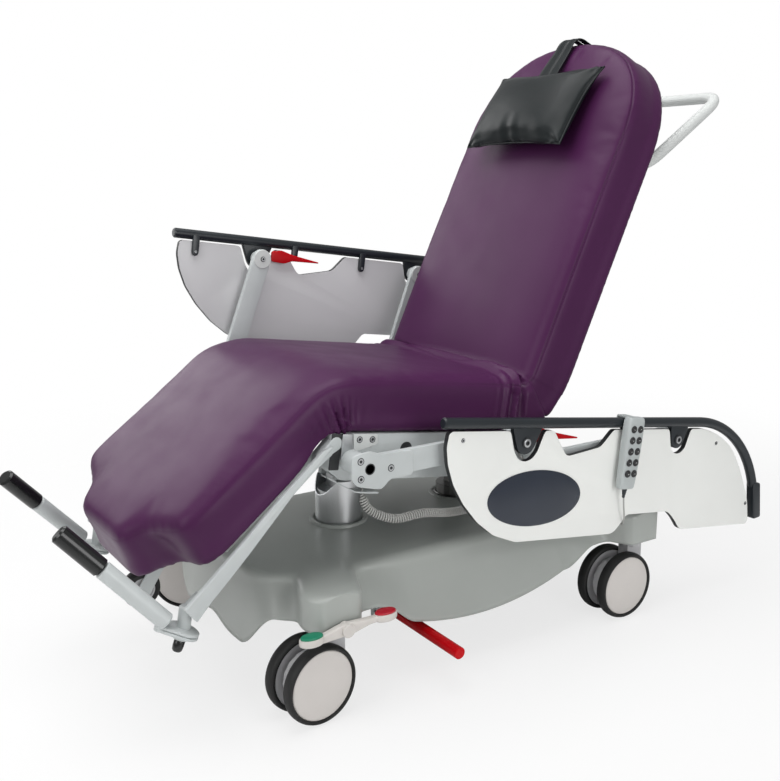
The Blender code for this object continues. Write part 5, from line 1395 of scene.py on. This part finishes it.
def make_roller():
    """The small roller: a grooved hub with a round-edged tyre."""
    half = 0.014
    profile = [
        (0.0056, half - 0.001), (0.0120, half - 0.001), (0.0130, half - 0.0030), (0.0200, half - 0.0030),
        (0.0210, half - 0.0012), (0.0240, half - 0.0012), (0.0250, half), (0.0320, half - 0.0005),
        (0.0355, half - 0.0040), (0.0370, half - 0.0085),
    ]
    profile = profile + [(r, -h) for r, h in profile[::-1]] + profile[:1]
    strips = [0] * 5 + [1] * 9 + [0] * 6
    rings = turned_rings(profile, leg((0.0, *ROLLER_AT)), (1.0, 0.0, 0.0), 56)
    looks = [HUB_PLASTIC, RUBBER]
    solid("foot_roller", rings, looks, "roller", ("roller_wheel",), strips, False, 30.0)


# Back


def make_back():
    """The back's rear panel with its round head, and the push bar with its foot flanges."""
    straight, round_head = 0.53, 0.25
    arch = straight + round_head * np.sin(np.linspace(0, math.pi / 2, 40))[1:]
    y = np.concatenate([[0.060], np.linspace(0.075, straight, 12), arch])
    half = 0.250 * np.sqrt(np.maximum(1 - ramp(y, straight, round_head) ** 2, 1e-5))
    outline = np.concatenate([np.stack([half, y], axis=1), np.stack([-half, y], axis=1)[::-1]])
    sheet = slab(rounded(outline, 0.01, 2), BOARD_REAR, BOARD_REAR + 0.0045, 0.0015)
    panel = back(np.stack([sheet[..., 1], sheet[..., 2], sheet[..., 0]], axis=-1))
    solid("back_rear_panel", panel, GREY_PAINT, "back_rest", ("back_board",))
    root, p, x = BOARD_REAR - 0.0003, PUSH_BAR_ROOT, PUSH_BAR_X
    half_path = [
        (x, p, root - 0.001), (x, p, root - 0.010), (x, p + 0.004, root - 0.022),
        (x, p + 0.022, root - 0.040), (x, p + 0.050, root - 0.060), (x, p + 0.130, root - 0.109),
        (x, p + 0.196, root - 0.149), (x - 0.004, p + 0.220, root - 0.164),
        (x - 0.016, p + 0.236, root - 0.1735), (x - 0.036, p + 0.242, root - 0.177),
        (x - 0.080, p + 0.242, root - 0.177),
    ]
    path = smooth_path(np.array(half_path + [(-a, b, c) for a, b, c in half_path[::-1]]), 150)
    grids = [back(bar(path, PUSH_BAR_RADIUS, (0.02, 0.55, 0.83), 24, 0.1))]
    flange = [
        (0.0003, 0.0), (0.026, 0.0), (0.026, 0.0038), (0.0245, 0.0050), (0.0150, 0.0058), (0.0126, 0.0085),
    ]
    rearward = heading(back, (0, 0, -1.0))
    screws, spots = ((0.019, 0), (-0.0095, 0.0165), (-0.0095, -0.0165)), []
    for way in (-1.0, 1.0):
        grids.append(turned_rings(flange, back((way * x, p, root)), rearward, 36))
        spots += [back((way * x + dx, p + dy, root - 0.0052)) for dx, dy in screws]
    solid("push_handle", grids, PALE_PAINT, "back_rest", ("push_bar",))
    screw_heads("push_handle_screws", spots, rearward, 0.0036, 0.0014, "back_rest")


# Hand control


def make_handset():
    """The hand control: rounded rectangles lofted up its length, a hook over the rail, and ten domed keys."""
    deep, wide, tall = HANDSET_SIZE
    carry, body = rail["left"], "armrest_left"
    angle = around(64)
    power = 2 / 5.0
    cx = np.sign(np.cos(angle)) * np.abs(np.cos(angle)) ** power
    cy = np.sign(np.sin(angle)) * np.abs(np.sin(angle)) ** power
    height = np.array([0.0, 0.0015, 0.005, 0.012, 0.030, 0.060, 0.100, 0.135, 0.145, 0.1500, 0.1520])
    width = np.array([0.74, 0.82, 0.87, 0.90, 0.94, 0.97, 1.0, 1.0, 0.97, 0.90, 0.80])
    depth = np.array([0.60, 0.74, 0.80, 0.84, 0.90, 0.96, 1.0, 1.0, 0.98, 0.90, 0.76])
    x = HANDSET_FACE + deep / 2 + deep / 2 * depth[:, None] * cx
    y = HANDSET_Y + wide / 2 * width[:, None] * cy
    z = np.broadcast_to((HANDSET_LOW + height)[:, None], x.shape)
    shell = carry(np.stack([x, y, z], axis=-1))
    over = RAIL_HEIGHT + RAIL_TUBE + 0.0003
    inner = PANEL_X + PANEL_THICK / 2 - RAIL_TUBE - 0.0003
    hook = np.array([
        (inner - 0.002, RAIL_HEIGHT + 0.001), (inner - 0.002, over + 0.001), (inner + 0.002, over + 0.002),
        (HANDSET_FACE + 0.004, over + 0.002),
    ])
    path = smooth_path(np.insert(hook, 1, HANDSET_Y, axis=1), 24)
    tangent = tangents(path)
    out = np.stack([-tangent[:, 2], np.zeros(24), tangent[:, 0]], axis=1) * 0.0018
    wing = np.array([0.0, 1.0, 0.0]) * 0.012
    band = np.stack([path + out - wing, path + out + wing, path - out + wing, path - out - wing], axis=1)
    grids, nodes = [shell, carry(band)], ("handset_body",)
    solid("hand_control", grids, HANDSET_SHELL, body, nodes, sharp=32.0)
    face, high = HANDSET_FACE + deep - 0.0006, HANDSET_LOW + tall - 0.024
    spots = [(face, HANDSET_Y + way * 0.0095, high - row * 0.0235) for row in range(5) for way in (-1, 1)]
    profile = [(0.0078, 0.0), (0.0078, 0.0012), (0.0071, 0.0021), (0.0046, 0.0028), (0.0003, 0.0030)]
    keys = [carry(turned_rings(profile, spot, (1.0, 0.0, 0.0), 24)) for spot in spots]
    solid("control_keys", keys, KEY_BLACK, body, ("handset_keypad",))
    marks = []
    for index, (x, y, z) in enumerate(spots):
        arrow = np.array([(-0.0024, -0.0009), (0.0, 0.0014), (0.0024, -0.0009), (0.0, 0.0004)])
        arrow[:, 1] *= 1 if index % 2 else -1
        levels = [(x + 0.00255, y, z), (x + 0.0032, y, z)]
        flat = np.insert(arrow, 0, 0.0, axis=1)
        marks.append(carry(np.array([level + flat for level in levels])))
    solid("key_marks", marks, MARK, body)
    neck = [
        (0.0055, 0.0), (0.0055, 0.004), (0.0046, 0.006), (0.0046, 0.009), (0.0040, 0.010), (0.0040, 0.013),
        (0.0032, 0.014), (0.0032, 0.019), (0.0021, 0.021),
    ]
    start = (HANDSET_FACE + deep / 2, HANDSET_Y, HANDSET_LOW + 0.0008)
    boot = carry(turned_rings(neck, start, (0.0, 0.0, -1.0), 20))
    solid("lead_boot", boot, BLACK, body)


def make_cords():
    """The curly cord from its socket to the arm, and the lead from the hand control to the arm."""
    low = 0.0447
    c, s = cos_sin(ARM_LIFT["left"])
    end, finish = ARM_PIVOT[0] + ARM_LENGTH * c, ARM_PIVOT[1] + ARM_LENGTH * s - 0.0093
    route = [
        (0.252, -0.100, low - 0.0163), (0.252, -0.100, low - 0.030), (0.262, -0.085, low - 0.058),
        (0.280, -0.040, low - 0.072), (0.2885, 0.020, low - 0.062), (0.2885, 0.090, low - 0.064),
        (0.2945, 0.150, low - 0.050), (0.304, end - 0.010, low - 0.010), (0.305, end, finish - 0.030),
        (0.305, end, finish),
    ]
    per_turn = 16
    count = CURLS * per_turn
    spine = smooth_path(route, count + 1)
    way = tangents(spine)
    side = unit(np.cross(way, [0.0, 0.6, 0.8]))
    other = np.cross(way, side)
    turn = 2 * math.pi * np.arange(count + 1) / per_turn
    share = np.arange(count + 1) / count
    ease = np.clip(np.minimum(share, 1 - share) / 0.035 - 0.6, 0, 1)[:, None] * CURL_RADIUS
    spoke = side * np.cos(turn)[:, None] + other * np.sin(turn)[:, None]
    curls, plane = seat(spine + ease * spoke), heading(seat, spoke)
    make_cord("curly_cord", curls, plane, "handset_curly_cord", 8)
    face, lane = HANDSET_FACE + HANDSET_SIZE[0] / 2, 0.336
    route = [
        (face, HANDSET_Y, HANDSET_LOW - 0.0003), (face, HANDSET_Y, HANDSET_LOW - 0.012),
        (face - 0.002, 0.283, -0.135), (face - 0.008, 0.297, -0.165), (face - 0.020, 0.309, -0.182),
        (0.345, 0.312, -0.184), (lane + 0.002, 0.306, -0.178), (lane, 0.285, -0.160),
        (lane, 0.220, -0.125), (lane, 0.140, -0.090), (lane, 0.070, -0.060), (lane, 0.025, -0.042),
        (lane, 0.005, -0.030), (lane, 0.0, -0.0168),
    ]
    lead, plane = rail["left"](smooth_path(route, 160)), np.array([0.35, 0.25, 0.9])
    make_cord("handset_wire", lead, plane, "handset_lead", 12, held=146)


def make_cord(name, path, plane, node, steps, held=0):
    """A round cord: circles square to its path."""
    rings = bar(path, CORD_RADIUS, plane, steps, 0)
    cord = solid(name, rings, CORD, None, (node,), sharp=80.0)
    tuple(path[held])
    tuple(path[-1])
    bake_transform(cord)
    tuple(path[0])
    length_of(path)


# Carried-over CAD nodes


def keep_nodes():
    """The rigid nodes that stay: welded, their edges bevelled, and painted."""
    kept = {
        GREY_PAINT: ["base_chassis", "seat_deck", "roller_fork"],
        HUB_PLASTIC: ["castor_%s_fork" % name for name in CASTORS],
        BLACK: ["control_box", "back_actuator", "leg_actuator", "cord_socket"],
        STEEL: ["front_ram", "leg_actuator_rod"],
        # The rear ram takes the dark copy of the steel as painted shade.
        SHADED_STEEL: ["rear_ram"],
    }
    for look, names in kept.items():
        for name in names:
            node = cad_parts[name]
            node.data.materials.clear()
            node.data.materials.append(look)
            weld = node.modifiers.new("weld", "WELD")
            weld.merge_threshold = 0.00002
            bevel = node.modifiers.new("edges", "BEVEL")
            bevel.width = 0.0012
            bevel.segments = 2
            bevel.limit_method = "ANGLE"
            bevel.angle_limit = math.radians(40)


# Stage


def make_floor():
    """A pale floor that glows to the camera and fades out away from the chair."""
    mesh = bpy.data.meshes.new("floor")
    mesh.from_pydata([(-9, -9, 0), (9, -9, 0), (9, 9, 0), (-9, 9, 0)], [], [(0, 1, 2, 3)])
    look = Finish("pale_floor", 0.9, specular=0.1)
    look.shader.inputs["Base Color"].default_value = (0.86, 0.86, 0.86, 1.0)
    tree = look.tree
    away = add_node(tree, "VectorMath", {0: look.place}, operation="LENGTH").outputs["Value"]
    inputs = {"Value": away, "From Min": FLOOR_FADE[0], "From Max": FLOOR_FADE[1]}
    fade = add_node(tree, "MapRange", inputs, interpolation_type="SMOOTHSTEP").outputs["Result"]
    clear = add_node(tree, "BsdfTransparent", {}).outputs["BSDF"]
    glow = add_node(tree, "Emission", {"Strength": 0.97}).outputs["Emission"]
    seen = add_node(tree, "LightPath", {}).outputs["Is Camera Ray"]
    share = look.math("MULTIPLY", seen, FLOOR_GLOW)
    lit = add_node(tree, "MixShader", {0: share, 1: look.shader.outputs["BSDF"], 2: glow}).outputs["Shader"]
    surface = add_node(tree, "MixShader", {0: fade, 1: lit, 2: clear}).outputs["Shader"]
    tree.links.new(surface, tree.nodes["Material Output"].inputs["Surface"])
    mesh.materials.append(look.material)
    linked("floor", mesh)


def make_room():
    """A white world, dimmer as a light than as it is seen, and soft lamps."""
    world = bpy.data.worlds.new("white_room")
    bpy.context.scene.world = world
    world.use_nodes = True
    tree = world.node_tree
    glow = tree.nodes["Background"]
    glow.inputs["Color"].default_value = (1.0, 1.0, 1.0, 1.0)
    path = add_node(tree, "LightPath", {})
    rays = {0: path.outputs["Is Camera Ray"], 1: path.outputs["Is Transmission Ray"]}
    seen = add_node(tree, "Math", rays, operation="MAXIMUM").outputs[0]
    strength = add_node(tree, "MapRange", {"Value": seen, "To Min": ROOM_LIGHT, "To Max": 1.0})
    tree.links.new(strength.outputs["Result"], glow.inputs["Strength"])
    for name, place, aim, size, power in LAMPS:
        lamp = bpy.data.lights.new(name, "AREA")
        lamp.size = size
        lamp.energy = power
        made = linked(name, lamp)
        made.location = place
        made.rotation_euler = (Vector(aim) - Vector(place)).to_track_quat("-Z", "Y").to_euler()


def make_camera():
    """The photograph's camera, at its fitted place and turn."""
    camera = bpy.data.cameras.new("camera")
    camera.sensor_width = SENSOR
    camera.lens = FOCAL_PIXELS * SENSOR / PHOTO_PIXELS
    eye = linked("camera", camera)
    (turn_c, turn_s), (pitch_c, pitch_s), (roll_c, roll_s) = map(cos_sin, (EYE_AZIMUTH, EYE_PITCH, EYE_ROLL))
    right = Vector((turn_c, turn_s, 0.0))
    ahead = Vector((-turn_s * pitch_c, turn_c * pitch_c, -pitch_s))
    up = right.cross(ahead)
    across, tall = right * roll_c + up * roll_s, up * roll_c - right * roll_s
    rows = zip(across, tall, -ahead, EYE)
    eye.matrix_world = Matrix((*rows, (0.0, 0.0, 0.0, 1.0)))
    bpy.context.scene.camera = eye
    bpy.context.scene.view_settings.view_transform = "Standard"


make_mattress()
make_pillow()
make_strap()
make_hood()
make_columns()
make_wheels()
make_pedals()
for side_name in SIDES:
    make_armrest(side_name)
make_beams()
make_handles()
make_leg_frame()
make_roller()
make_back()
make_handset()
make_cords()
keep_nodes()
make_floor()
make_room()
make_camera()
